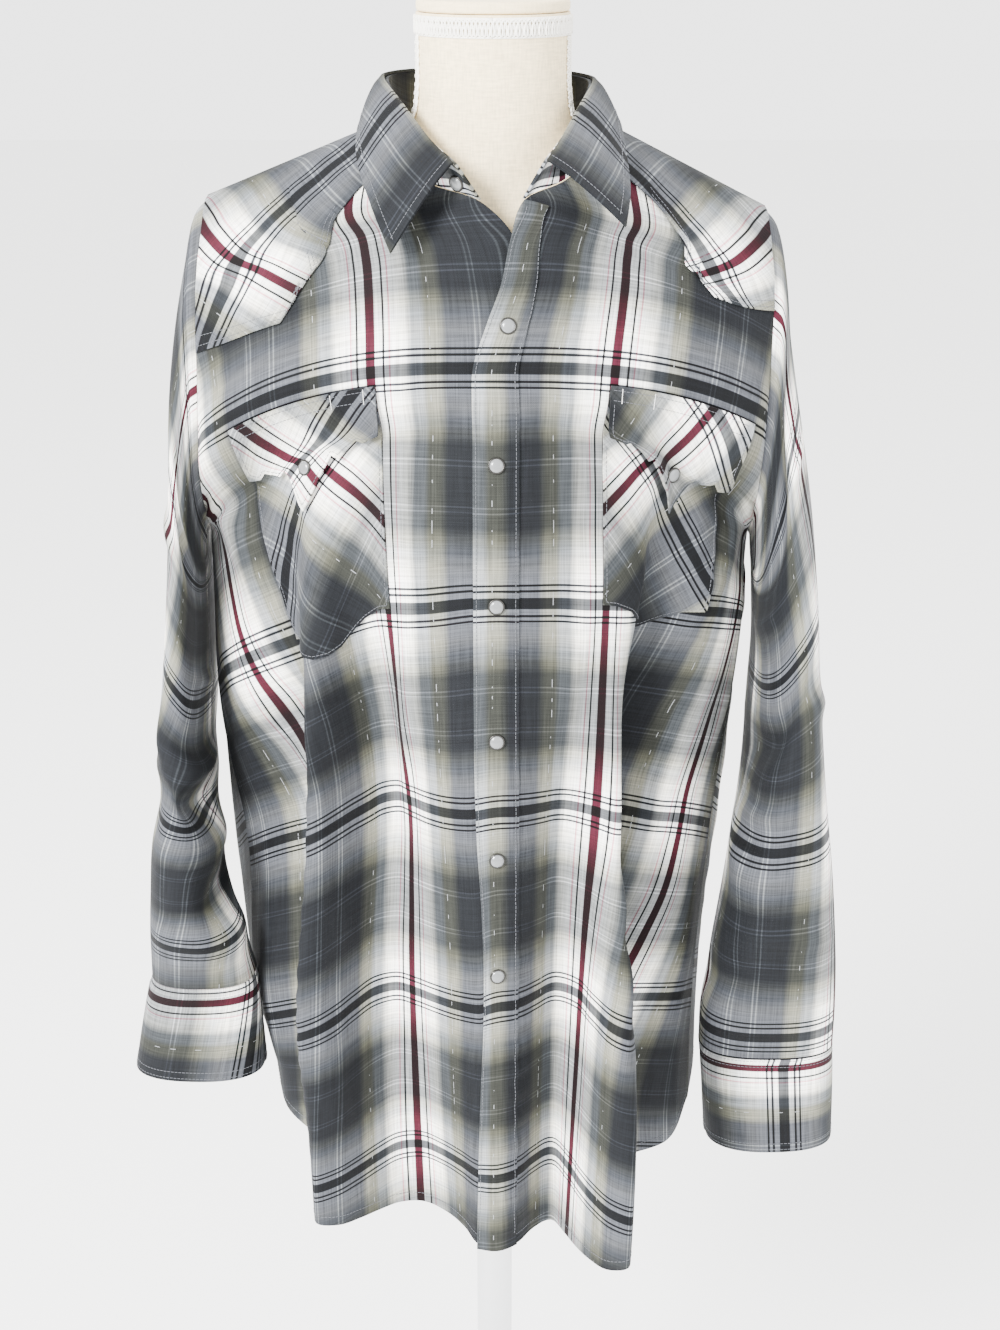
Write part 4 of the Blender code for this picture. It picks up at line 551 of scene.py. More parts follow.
def half_line(side, face, level):
    """One folded line of cloth from the centre line to the armhole or the side seam.

    Columns: x (away from the centre), y, z, down, and the true length from the centre.
    """
    armpit = SECTIONS[face][ARMPIT_ROW][0]
    own, edge = quarter(side, face, level)
    if level < armpit:
        line = own
        if face == "back":
            line = own[::-1].copy()
            line[:, 4] = 2 * QUARTER_GIRTH - line[:, 4]
    else:
        other, _ = quarter(side, "back" if face == "front" else "front", paired(face, level))
        front, back = (own, other) if face == "front" else (other, own)
        back = back[::-1][1:].copy()
        back[:, 3] -= BACK_EXTRA
        back[:, 4] = 2 * QUARTER_GIRTH - back[:, 4]
        line = np.concatenate([front, back])
    x, y, z, v, round_body = line.T
    tx, ty = np.gradient(x), np.gradient(y)
    size = np.maximum(np.hypot(tx, ty), 1e-12)
    tx, ty = tx / size, ty / size
    out, sideways = fold_offsets(side, round_body, v)
    x = x + ty * out - tx * sideways
    y = y - tx * out - ty * sideways
    run = np.concatenate([[0], np.cumsum(np.sqrt(
        np.diff(x) ** 2 + np.diff(y) ** 2 + (np.diff(z) + np.diff(v)) ** 2))])
    total = run[-1]
    if face == "back":
        v = v + (BACK_EXTRA if level >= armpit else 0)
        x, y, z, v = x[::-1], y[::-1], z[::-1], v[::-1]
        run = (total - run)[::-1]
    shift = max(edge + OVERLAP[side], 0) if face == "front" else 0.0
    if level < armpit:
        y = y + (SEAM / 2) * (-1 if face == "front" else 1) * (run / total) ** 4
    else:
        seam = total * (SEAM_SHARE if face == "front" else 1 - SEAM_SHARE) - SEAM / 2
        x, y, z, v = (np.append(a[run < seam], np.interp(seam, run, a)) for a in (x, y, z, v))
        run = np.append(run[run < seam], seam)
    start = max(edge, 0.0)
    if face == "front":
        opened = OPENED_SHARE * shift * ease(1 + level / OPENED_ABOVE)
        near = (1 - OPENED_SHARE) * shift * (1 - ease(run / NEAR_EDGE)) * ease(
            1 + level / NEAR_ABOVE)
        run = run + start - opened - near
    else:
        run = run + start
    return np.stack([SIGN[side] * x, y, z, v, run], axis=1), edge


def cloth_line(side, face, level):
    """A line of cloth of one panel, with the part that passes the centre of a front."""
    line, edge = half_line(side, face, level)
    if face == "back" or edge >= 0:
        return line
    other, _ = half_line("left" if side == "right" else "right", face, level)
    reach = -edge
    own = other[:, 4] - other[0, 4]
    inside = own < reach
    lap = np.array([np.interp(reach, own, other[:, k]) for k in range(5)])
    lap = np.concatenate([[lap], other[inside][::-1][:-1]])
    lap[:, 4] = line[0, 4] - (lap[:, 4] - other[0, 4])
    return np.concatenate([lap, line])


def body_grid(side, face, levels, columns):
    """Outer points of half a front or back, with their across and down cloth places."""
    points, across, down = [], [], []
    for level in levels:
        line = cloth_line(side, face, level)
        places = column_places(columns, line[0, 4], line[-1, 4], level, face)
        row = [np.interp(places, line[:, 4], line[:, k]) for k in range(4)]
        points.append(np.stack(row[:3], axis=1))
        across.append(places)
        down.append(row[3])
    return np.array(points), np.array(across), np.array(down)


def column_places(columns, start, end, level, face):
    """Where the columns lie on one row: fixed on the cloth below the neck, shared above it."""
    columns = np.asarray(columns, float)
    first, last = columns[0], columns[-1]
    fixed = columns.copy()
    beyond = columns > POCKET_OUTER
    stretch = (end - POCKET_OUTER) / (last - POCKET_OUTER)
    fixed[beyond] = POCKET_OUTER + (columns[beyond] - POCKET_OUTER) * stretch
    fixed[0] = start
    shared = start + (end - start) * (columns - first) / (last - first)
    top, over = FIXED_BELOW[face]
    return shared + (fixed - shared) * ease((level - top) / over)


def outward(points):
    """Unit normals of a grid of points: across its rows and down its columns."""
    return unit(np.cross(np.gradient(points, axis=1), np.gradient(points, axis=0)))


# ---- finer grids ----
PANELS = {}        # name: outer points, outward normals, across and down places


def finer(knots, step):
    """The knots, and even places between them about a step apart."""
    places = [np.asarray(knots[:1], float)]
    for start, end in zip(knots[:-1], knots[1:]):
        places.append(np.linspace(start, end, max(1, math.ceil((end - start) / step)) + 1)[1:])
    return np.concatenate(places)


def refine(grid, row_knots, col_knots, rows, cols):
    """A grid read smoothly at more rows and columns."""
    tall = along(row_knots, grid, rows)
    return np.swapaxes(along(col_knots, np.swapaxes(tall, 0, 1), cols), 0, 1)


def ridge(fold, across, down):
    """How high one leaning crease lifts the cloth at each place."""
    lean = math.radians(fold["lean_deg"])
    reach = (across * math.cos(lean) + down * math.sin(lean)) / fold["half_length"]
    width = (down * math.cos(lean) - across * math.sin(lean)) / fold["half_width"]
    bend = fold.get("bow", 0.0) * reach ** 2
    return fold["height"] * np.exp(-(width - bend) ** 2) * np.maximum(1 - reach ** 2, 0) ** 2


def creased(panel, points, normal, across, down):
    """The points with the panel's own creases and seam puckers raised in them."""
    lift = np.zeros(across.shape)
    for crease in named(CREASE, CREASES[panel]):
        lift += CREASE_GAIN * ridge(crease, across - crease["across"], down - crease["down"])
    for pucker in named(PUCKER, PUCKERS[panel]):
        near = np.exp(-((across - pucker["across"]) / pucker["reach"]) ** 2)
        wave = np.sin(2 * math.pi * (down / pucker["length"] + 0.35 * np.sin(down * 23.0)))
        lift += pucker["height"] * near * wave * ease((down - 0.02) / 0.05)
    lift *= ease((across[:, -1:] - across) / CREASE_MARGIN)
    return points + normal * lift[..., None]


def body_normals(points):
    """Normals of a half body panel, pointing out of the shirt."""
    normal = outward(points)
    normal[:, -1] = unit(normal[:, -1] + 2 * normal[:, -2])
    return normal if np.sum(normal * points * [1, 1, 0]) > 0 else -normal


def lay_out_front(side):
    """The fine grid of one front, with its creases."""
    coarse = body_grid(side, "front", FRONT_LEVELS, FRONT_COLUMNS)
    rows, cols = finer(FRONT_LEVELS, STEP), finer(FRONT_COLUMNS, STEP)
    points, across, down = (refine(grid, FRONT_LEVELS, FRONT_COLUMNS, rows, cols)
                            for grid in coarse)
    normal = body_normals(points)
    if side == "left":
        # The lapping front stands off the other one, and comes back to the body beside it.
        lift = (SOLID_CLOTH + 4 * SEAM) * ease((0.050 - across) / 0.030)
        points = points + normal * lift[..., None]
    points = creased("front_" + side, points, normal, across, down)
    PANELS[side] = (points, body_normals(points), across, down)
    return rows


def lay_out_back(side, other):
    """The fine grid of half the back; its first column lies on the centre line below the neck."""
    coarse = body_grid(side, "back", BACK_LEVELS, BACK_COLUMNS)
    beyond = body_grid(other, "back", BACK_LEVELS, BACK_COLUMNS)
    # One column of the other half goes before this one's, so that the halves meet smoothly.
    joined = np.array(BACK_LEVELS) >= BACK_NECK_LEVEL
    cols_in = (-BACK_COLUMNS[1],) + BACK_COLUMNS
    wide = []
    for own, far, flip in zip(coarse, beyond, (1.0, -1.0, 1.0)):
        straight = 2 * own[:, 0] - own[:, 1]
        pick = joined[:, None] if own.ndim == 3 else joined
        before = np.where(pick, far[:, 1] * flip, straight)
        wide.append(np.concatenate([before[:, None], own], axis=1))
    seam_rows = [level for level in FRONT_LEVELS if level >= FRONT_ARMPIT]
    counts = [max(1, math.ceil((b - a) / STEP)) for a, b in zip(seam_rows[:-1], seam_rows[1:])]
    above = finer(BACK_LEVELS[:len(BACK_LEVELS_ABOVE) + 1], STEP)
    below = BACK_LEVELS[len(BACK_LEVELS_ABOVE):]
    rows = np.concatenate([above] + [np.linspace(a, b, n + 1)[1:]
                                     for a, b, n in zip(below[:-1], below[1:], counts)])
    cols = finer(cols_in, STEP)
    points, across, down = (refine(grid, BACK_LEVELS, cols_in, rows, cols) for grid in wide)
    points = creased("back_" + side, points, body_normals(points), across, down)
    normal = body_normals(points)
    first = int(np.argmin(np.abs(cols)))
    points, normal, across, down = (grid[:, first:] for grid in (points, normal, across, down))
    normal[rows >= BACK_NECK_LEVEL, 0, 0] = 0
    PANELS["back_" + side] = (points, unit(normal), across, down)
    return rows


def lay_out_body():
    """The grids of both fronts and both halves of the back, with shared side seams."""
    rows = {}
    for side, other in zip(SIDES, SIDES[::-1]):
        rows["front"] = lay_out_front(side)
        rows["back"] = lay_out_back(side, other)
        seam = int(np.sum(rows["front"] >= FRONT_ARMPIT - EVEN))
        out_front, out_back = PANELS[side][1], PANELS["back_" + side][1]
        shared = unit(out_front[-seam:, -1] + out_back[-seam:, -1])
        out_front[-seam:, -1] = out_back[-seam:, -1] = shared
    return rows


ROWS = lay_out_body()


def read_grid(grid, row, col):
    """A grid read between its rows and columns."""
    rows, cols = grid.shape[:2]
    row, col = np.clip(row, 0, rows - 1), np.clip(col, 0, cols - 1)
    r, c = np.minimum(row.astype(int), rows - 2), np.minimum(col.astype(int), cols - 2)
    down, over = row - r, col - c
    if grid.ndim == 3:
        down, over = down[..., None], over[..., None]
    return ((grid[r, c] * (1 - over) + grid[r, c + 1] * over) * (1 - down)
            + (grid[r + 1, c] * (1 - over) + grid[r + 1, c + 1] * over) * down)


def read_cloth(panel, row, col):
    """Points just off a panel's cloth, and its normals, at places of its grid."""
    points, normal = (read_grid(grid, row, col) for grid in PANELS[panel][:2])
    return points + unit(normal) * THREAD_LIFT, unit(normal)


def locate(panel, across, down):
    """The fractional rows and columns of cloth places on a panel's grid."""
    grids = PANELS[panel][2:]
    wanted = [np.asarray(places, float) for places in (across, down)]
    near = np.argmin(sum((grid.ravel() - places[:, None]) ** 2
                         for grid, places in zip(grids, wanted)), axis=1)
    rows, cols = grids[0].shape
    row, col = (n.astype(float) for n in np.unravel_index(near, (rows, cols)))
    for _ in range(4):     # Newton's steps
        (miss_a, a_row, a_col), (miss_d, d_row, d_col) = (
            (places - read_grid(grid, row, col),
             read_grid(grid, row + 0.5, col) - read_grid(grid, row - 0.5, col),
             read_grid(grid, row, col + 0.5) - read_grid(grid, row, col - 0.5))
            for grid, places in zip(grids, wanted))
        size = a_row * d_col - a_col * d_row
        size = np.where(np.abs(size) < 1e-9, 1e-9, size)
        row_step = np.clip((miss_a * d_col - a_col * miss_d) / size, -2, 2)
        col_step = np.clip((a_row * miss_d - miss_a * d_row) / size, -2, 2)
        row, col = np.clip(row + row_step, 0, rows - 1), np.clip(col + col_step, 0, cols - 1)
    return row, col


# ---- meshes ----
def slanted(across, down, cut):
    """Weave coordinates of a piece cut at a slant: its warp runs at the given angle."""
    at_across, at_down, slant_deg, warp, weft = cut
    turn = math.radians(slant_deg)
    side_way, down_way = across - at_across, down - at_down
    return np.stack([side_way * math.cos(turn) + down_way * math.sin(turn) + warp,
                     down_way * math.cos(turn) - side_way * math.sin(turn) + weft], axis=-1)


def cloth_piece(node, outer, normal, faces, weave, thickness=CLOTH):
    """A closed wall of cloth with its weave coordinates, standing for a solid of the frame."""
    outer, normal, weave = outer.reshape(-1, 3), unit(normal.reshape(-1, 3)), weave.reshape(-1, 2)
    count = len(outer)
    first, second, third = ([face[k] for face in faces] for k in range(3))
    turned = np.cross(outer[second] - outer[first], outer[third] - outer[first])
    if np.sum(turned * normal[first]) < 0:
        faces = [face[::-1] for face in faces]
    edges = {edge for face in faces for edge in zip(face, face[1:] + face[:1])}
    both = list(faces) + [tuple(count + i for i in reversed(face)) for face in faces]
    both += [(b, a, count + a, count + b) for a, b in sorted(edges) if (b, a) not in edges]
    used = sorted({i for face in both for i in face})
    place = {old: new for new, old in enumerate(used)}
    points = np.concatenate([outer, outer - normal * thickness])[used]
    mesh = bpy.data.meshes.new(node + "_cloth")
    mesh.from_pydata(points.tolist(), [], [tuple(place[i] for i in face) for face in both])
    layer = mesh.uv_layers.new(name="weave")
    of_corner = np.empty(len(mesh.loops), int)
    mesh.loops.foreach_get("vertex_index", of_corner)
    layer.data.foreach_set("uv", np.concatenate([weave, weave])[used][of_corner].ravel())
    mesh.update()
    smooth(mesh)
    return shown(mesh, "plaid_shirting", "plaid_shirting", node)


def smooth(mesh):
    """Smooth shading, but for its sharp edges."""
    mesh.shade_smooth()
    mesh.set_sharp_from_angle(angle=math.radians(50))


def shells(name, points, faces):
    """A mesh of closed shells, with their faces turned outwards."""
    mesh = bpy.data.meshes.new(name)
    mesh.from_pydata(np.array(points, float).tolist(), [], faces)
    work = bmesh.new()
    work.from_mesh(mesh)
    bmesh.ops.recalc_face_normals(work, faces=work.faces)
    work.to_mesh(mesh)
    work.free()
    return mesh


def shown(mesh, finish, slot, *nodes):
    """The mesh as a piece of its own name, in its finish."""
    piece = bpy.data.objects.new(mesh.name, mesh)
    bpy.context.scene.collection.objects.link(piece)
    mesh.materials.append(material(finish))
    finished(piece, slot, *nodes)
    return piece


def finished(piece, slot, *nodes):
    """The piece rides on the one body and stands for the nodes named; its slot is not used."""
    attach(piece, "root")
    if nodes:
        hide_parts(*nodes)


def grid_quads(rows, cols, ring=False, start=0):
    """The quads of a grid of points; a ring's last column meets its first."""
    quads = []
    for r in range(rows - 1):
        for c in range(cols if ring else cols - 1):
            n = (c + 1) % cols
            a, b = start + r * cols, start + (r + 1) * cols
            quads.append((a + c, a + n, b + n, b + c))
    return quads


# ---- fronts and back ----
def build_front(side):
    """One front, from the neck, shoulder and armhole to the shirt-tail hem."""
    points, normal, across, down = PANELS[side]
    piece = cloth_piece(f"front_{side}", points, normal, grid_quads(*across.shape),
                        np.stack([across, down], axis=-1))


def joined_back(node, rows, gap, cut):
    """One piece over both halves of the back, open at the neck and whole below it."""
    outer, normals, weaves, quads = [], [], [], []
    cols = PANELS["back_right"][0].shape[1]
    for start, side in zip((0, rows * cols), SIDES):
        points, normal, across, down = (grid[:rows] for grid in PANELS["back_" + side])
        outer.append((points + normal * gap).reshape(-1, 3))
        normals.append(normal.reshape(-1, 3))
        weaves.append(slanted(across, down, cut).reshape(-1, 2))
        turned = grid_quads(rows, cols, start=start)
        quads += turned if side == "left" else [quad[::-1] for quad in turned]
    first = int(np.sum(ROWS["back"] < BACK_NECK_LEVEL - EVEN))
    shared = {rows * cols + r * cols: r * cols for r in range(first, rows)}
    quads = [tuple(shared.get(i, i) for i in quad) for quad in quads]
    return cloth_piece(node, *(np.concatenate(part) for part in (outer, normals)), quads,
                       np.concatenate(weaves))


# ---- sleeves and cuffs ----
def spread(points, count):
    """Points evenly spaced along a line of points, from its first to its last."""
    run = run_of(points)
    at = np.linspace(0, run[-1], count)
    return np.stack([np.interp(at, run, points[:, k]) for k in range(3)], axis=1)


def ring_from(front, back):
    """A ring of even points, from two lines that each run from one end of it to the other."""
    return np.concatenate([spread(line, RING_POINTS // 2 + 1)[:-1] for line in (front, back)])


def armhole(side):
    """The armhole's ring of points, from the shoulder down the front and up the back."""
    down = PANELS[side][0][ROWS["front"] <= FRONT_ARMPIT + EVEN, -1]
    up = PANELS["back_" + side][0][ROWS["back"] <= BACK_ARMPIT + EVEN, -1][::-1]
    points = ring_from(down, up)
    points[0, 1] = 0.0
    return points


def sleeve_ring(side, size):
    """One hanging ring of a sleeve, from its outer line round the front and back again."""
    swing, depth = rounded(np.linspace(0, math.pi, 181), size["square"])
    x, z = ((size[f"out_{k}"] + size[f"in_{k}"]) / 2
            + (size[f"out_{k}"] - size[f"in_{k}"]) / 2 * swing for k in "xz")
    front, back = (np.stack([SIGN[side] * x, size["y_mid"] + way * depth * size["half_depth"], z],
                            axis=1) for way in (-1, 1))
    return ring_from(front, back[::-1])


def ring_normals(points):
    """Normals of a tube of rings, pointing away from its middle."""
    wrapped = np.concatenate([points[:, -1:], points, points[:, :1]], axis=1)
    normal = unit(np.cross(np.gradient(wrapped, axis=1)[:, 1:-1], np.gradient(points, axis=0)))
    out = points - points.mean(axis=1, keepdims=True)
    return normal if np.sum(normal * out) > 0 else -normal


def round_rings(points):
    """How far round its ring each point lies, and the same counted both ways from the first."""
    step = np.linalg.norm(np.diff(points, axis=1, append=points[:, :1]), axis=2)
    run = np.cumsum(step, axis=1)
    around = np.concatenate([np.zeros((len(points), 1)), run[:, :-1]], axis=1)
    first_half = np.arange(RING_POINTS) < RING_POINTS // 2
    return around, np.where(first_half, around, around - step.sum(axis=1)[:, None])


def sleeve_grid(side):
    """The sleeve's outer points and normals, with places round and down it."""
    rows = SLEEVE_SECTIONS[side]
    knots = column(rows, SLEEVE, "down")
    levels = finer((0.0, 0.006, knots[1], knots[2], knots[-1]), STEP)
    pick = {name: along(knots, column(rows, SLEEVE, name), levels) for name in SLEEVE}
    points = np.array([sleeve_ring(side, {name: pick[name][i] for name in SLEEVE})
                       for i in range(len(levels))])
    hole = armhole(side)
    inward = hole.mean(axis=0) - hole
    inward[:, 0] = 0
    inward = unit(inward)
    hole = hole + inward * SEAM + np.array([SIGN[side] * SEAM, 0, 0])
    fade = 1 - ease(levels / knots[3])
    points = points + (hole - points[0])[None] * fade[:, None, None]
    around, both_ways = round_rings(points)
    lift = np.zeros(points.shape[:2])
    for fold in named(CRUMPLE, CRUMPLES[side] + FINE_CRUMPLES[side]):
        lift += ridge(fold, around - fold["around"], levels[:, None] - fold["down"])
    lift *= ease(levels / 0.05)[:, None]
    points = points + ring_normals(points) * lift[..., None]
    normal = ring_normals(points)
    normal[0] = -inward
    return points, normal, both_ways, np.broadcast_to(levels[:, None], around.shape)


def ring_piece(node, grids, weave, thickness):
    """A tube of cloth, cut open along its underarm so that its weave doesn't wrap."""
    points, normal, weave = (np.roll(grid, -(RING_POINTS // 2), axis=1)
                             for grid in (*grids[:2], np.stack(weave, axis=-1)))
    PANELS[node] = grids
    return cloth_piece(node, points, normal, grid_quads(*points.shape[:2], ring=True), weave,
                       thickness)


def build_sleeve(side):
    """One sleeve, a tube from the armhole to the cuff."""
    grids = sleeve_grid(side)
    around, down = grids[2:]
    warp, weft, drift, gathered = SLEEVE_CUT[side]
    gathered = gathered * ease((down - 0.30) / 0.25)
    # The weft is drawn up in front, where the armhole pulls, and evens out towards the cuff.
    front = np.sin(np.arange(RING_POINTS) * 2 * math.pi / RING_POINTS)
    drawn = SLEEVE_PULL * front * ease(down / 0.08) * np.maximum(1 - down / 0.58, 0)
    piece = ring_piece(f"sleeve_{side}", grids, (around + drift * down + warp,
                                                 down + gathered + drawn + weft), CLOTH)


def build_cuff(side):
    """One cuff, a short double band below its sleeve."""
    last, normal = (grid[-1] for grid in PANELS["sleeve_" + side][:2])
    top, low = named(CUFF, CUFFS[side])
    height = top["z"] - low["z"]
    out_way, front_way = rounded(np.linspace(0, 2 * math.pi, RING_POINTS, endpoint=False), 2.5)
    rings = []
    shares = np.concatenate([[0.0, 0.02, 0.04], np.linspace(0.08, 1.0, 22)])
    for share in shares:
        size = {k: top[k] + (low[k] - top[k]) * share for k in CUFF}
        rings.append(np.stack([size["x"] + SIGN[side] * size["half_width"] * out_way,
                               size["y"] - size["half_depth"] * front_way,
                               np.full(RING_POINTS, size["z"])], axis=1))
    # The top of the band starts on the sleeve's own end.
    blend = ease(shares / 0.12)[:, None, None]
    drop = np.outer(shares, [0, 0, -height])
    rings = (last + [0, 0, -2 * SEAM] + drop[:, None]) * (1 - blend) + np.array(rings) * blend
    out = ring_normals(rings)
    out[0] = normal
    around = round_rings(rings)[1]
    down = np.broadcast_to((shares * height)[:, None], around.shape)
    ripple = 0.0005 * np.sin(around * 60 + shares[:, None] * 3) * ease(shares / 0.2)[:, None]
    rings = rings + out * ripple[..., None]
    warp, weft = CUFF_CUT[side]
    piece = ring_piece(f"cuff_{side}", (rings, out, around, down), (down + warp, around + weft),
                       CUFF_CLOTH)


# ---- collar ----
def neckline(side):
    """The neck edge of one side, from the back centre line to the front neck point."""
    back = PANELS["back_" + side][0][ROWS["back"] <= BACK_NECK_LEVEL + EVEN, 0][::-1]
    front = PANELS[side][0][ROWS["front"] <= EVEN, 0]
    return np.concatenate([back, front[1:]])


def collar_curves(side):
    """The seam, the fold and the outer edge of the collar on one side."""
    rows = COLLAR_STATIONS[side]
    knots, at = np.linspace(0, 1, len(rows)), np.linspace(0, 1, COLLAR_STEPS)
    fold, edge = (np.stack([along(knots, column(rows, COLLAR, f"{line}_{k}"), at) for k in "xyz"],
                           axis=1) * [SIGN[side], 1, 1] for line in ("top", "edge"))
    return spread(neckline(side), COLLAR_STEPS), fold, edge


def collar_halves(side):
    """Half the stand and half the leaf, as rows from the fold outwards."""
    seam, fold, edge = collar_curves(side)
    foot = seam + unit(fold - seam) * 2 * SEAM
    stand = np.array([foot + (fold - foot) * share * STAND_SHARE
                      for share in np.linspace(0, 1, STAND_ROWS + 1)])
    spine = unit(edge - fold)
    out = unit(np.cross(np.gradient(fold, axis=0), spine) * -SIGN[side])
    if np.sum(out * (edge * [1, 1, 0])) < 0:
        out = -out
    leaf = [fold + out * COLLAR_CLOTH * 0.9 + spine * -0.0005]
    for share, bulge in zip(LEAF_ROWS, along(*zip((0.0, 0.0012), *LEAF_PROFILE), LEAF_ROWS)):
        leaf.append(fold + (edge - fold) * share + out * (COLLAR_CLOTH + bulge))
    return stand, np.array(leaf)


def build_collar():
    """The stand round the neck, and the leaf that folds down over it."""
    halves = [collar_halves(side) for side in SIDES]
    for which, (name, cut) in enumerate((("collar_stand", STAND_CUT), ("collar", LEAF_CUT))):
        right, left = (half[which] for half in halves)
        grid = np.concatenate([right[:, ::-1], left[:, 1:]], axis=1)
        normal = outward(grid)
        if np.sum(normal * (grid * [1, 1, 0])) < 0:
            normal = -normal
        rows, cols = grid.shape[:2]
        run = run_of(grid[0])
        across = np.broadcast_to(np.abs(run - run[cols // 2]), (rows, cols))
        tall = np.linalg.norm(np.diff(grid, axis=0), axis=2)
        down = np.cumsum(np.concatenate([np.zeros((1, cols)), tall]), axis=0)
        PANELS[name] = (grid, normal, across, down)
        piece = cloth_piece(name, grid, normal, grid_quads(rows, cols),
                            slanted(across, down, cut), COLLAR_CLOTH)


# ---- pieces sewn on the fronts ----
def crossing(panel, col, edge):
    """The fractional row where a column of a front crosses an edge of the cloth."""
    across, down = PANELS[panel][2:]
    rows = np.arange(len(down), dtype=float)
    cols = np.full(len(rows), float(col))
    miss = read_grid(down, rows, cols) - np.interp(read_grid(across, rows, cols), *zip(*edge))
    after = int(np.argmax(miss > 0))
    if after == 0:
        return 0.0
    return after - 1 + miss[after - 1] / (miss[after - 1] - miss[after])


def patch(name, side, ends, top_edge, foot_edge, thickness, cut, gap=OVERLAY_GAP, lift=0.0):
    """A piece sewn on a front: the front's own cloth between two edges, moved out."""
    if ends:
        first, last = (locate(side, [end, end], [foot_edge[0][1], foot_edge[-1][1]])[1].mean()
                       for end in ends)
    else:
        first, last = 0.0, PANELS[side][0].shape[1] - 1.4    # just short of the armhole seam
    # A column lies on each corner of the foot, and the plain ones keep clear of those.
    corners = locate(side, *zip(*foot_edge))[1]
    plain = [col for col in np.arange(math.ceil(first), last, 0.75)
             if np.all(np.abs(corners - col) > 0.35)]
    cols = np.array(sorted({round(float(col), 4) for col in [first, *plain, *corners, last]
                            if first <= col <= last}))
    top = np.array([crossing(side, col, top_edge) if top_edge else 0.0 for col in cols])
    foot = np.array([crossing(side, col, foot_edge) for col in cols])
    tall = int(max(6, math.ceil(np.max(foot - top) * 1.3)))
    share = np.linspace(0, 1, tall + 1)[:, None]
    row = top + (foot - top) * share
    col = np.broadcast_to(cols, row.shape)
    base, out, across, down = (read_grid(grid, row, col) for grid in PANELS[side])
    out = unit(out)
    ripple = np.sin(across * 190 + down * 60) * np.sin(down * 150 + 1.3)
    rise = ease(share) * lift + 0.0004 * ease((share - 0.02) / 0.1) * ripple
    outer = base + out * (gap + thickness + rise)[..., None]
    PANELS[name] = (outer, out, across, down)
    return cloth_piece(name, outer, out, grid_quads(*row.shape), slanted(across, down, cut),
                       thickness)


def build_yokes():
    """Two front yokes with saw-toothed inner edges, and the back yoke."""
    for side in SIDES:
        piece = patch(f"yoke_{side}", side, None, None, YOKE_FRONT[side], CLOTH, YOKE_CUT[side],
                      YOKE_GAP)
    rows = int(np.sum(ROWS["back"] <= YOKE_BACK_DOWN + EVEN))
    piece = joined_back("yoke_back", rows, YOKE_GAP + CLOTH, YOKE_BACK_CUT)


def build_placket():
    """The band down the edge of the lapping front."""
    first = int(np.argmax(ROWS["front"] >= -EVEN))
    width = int(np.sum(finer(FRONT_COLUMNS, STEP) <= PLACKET_EDGE))
    outer, out, across, down = (grid[first:, :width] for grid in PANELS["left"])
    swell = 0.0004 * np.sin(down * 170 + 0.4) * np.sin((across + OVERLAP["left"]) * 110)
    outer = outer + out * (OVERLAY_GAP + CLOTH + swell)[..., None]
    PANELS["placket"] = (outer, out, across, down)
    piece = cloth_piece("placket", outer, out, grid_quads(*across.shape),
                        np.stack([across + PLACKET_WARP, down], axis=-1))


def build_pockets():
    """Two chest pockets with pointed feet, and their saw-toothed flaps."""
    for side in SIDES:
        piece = patch(f"pocket_{side}", side, POCKET_SIDES, level_edge(POCKET_TOP), POCKET_FOOT,
                      POCKET_CLOTH, POCKET_CUT[side])
        piece = patch(f"pocket_flap_{side}", side, POCKET_SIDES, level_edge(FLAP_TOP), FLAP_EDGE,
                      FLAP_CLOTH, FLAP_CUT[side], 2 * OVERLAY_GAP + POCKET_CLOTH, FLAP_LIFT[side])


def level_edge(down):
    """An edge straight across a front."""
    return (0.0, down), (0.3, down)


# ---- snaps ----
def deselect():
    """Nothing is selected or active."""
    for thing in bpy.context.scene.objects:
        thing.select_set(False)
    bpy.context.view_layer.objects.active = None


def choose(*pieces):
    """These pieces alone are selected, and the first of them is active."""
    deselect()
    for piece in pieces:
        piece.select_set(True)
    bpy.context.view_layer.objects.active = pieces[0]


def cylinder(sides, radius, low, high):
    """A new upright cylinder between two heights, on its own selected."""
    deselect()
    bpy.ops.mesh.primitive_cylinder_add(vertices=sides, radius=radius, depth=high - low,
                                        location=(0, 0, (low + high) / 2))
    return bpy.context.active_object


def inset(*steps):
    """Insets the chosen faces by each thickness and depth in turn."""
    for thickness, depth in steps:
        bpy.ops.mesh.inset(thickness=thickness, depth=depth)


def shape_top(piece, steps):
    """Runs steps in edit mode with the faces that look up selected."""
    choose(piece)
    bpy.ops.object.mode_set(mode="EDIT")
    work = bmesh.from_edit_mesh(piece.data)
    bpy.ops.mesh.select_mode(type="FACE")
    for face in work.faces:
        face.select = face.normal.z > 0.9
    work.select_flush_mode()
    bmesh.update_edit_mesh(piece.data)
    steps()
    bpy.ops.object.mode_set(mode="OBJECT")


def bevelled(piece, width, segments, angle=35):
    """Bevels the piece's sharp edges for good."""
    choose(piece)
    rounding = piece.modifiers.new("rounding", "BEVEL")
    rounding.width, rounding.segments = width, segments
    rounding.limit_method, rounding.angle_limit = "ANGLE", math.radians(angle)
    bpy.ops.object.modifier_apply(modifier=rounding.name)
    bpy.ops.object.shade_smooth_by_angle(angle=math.radians(40))
    deselect()


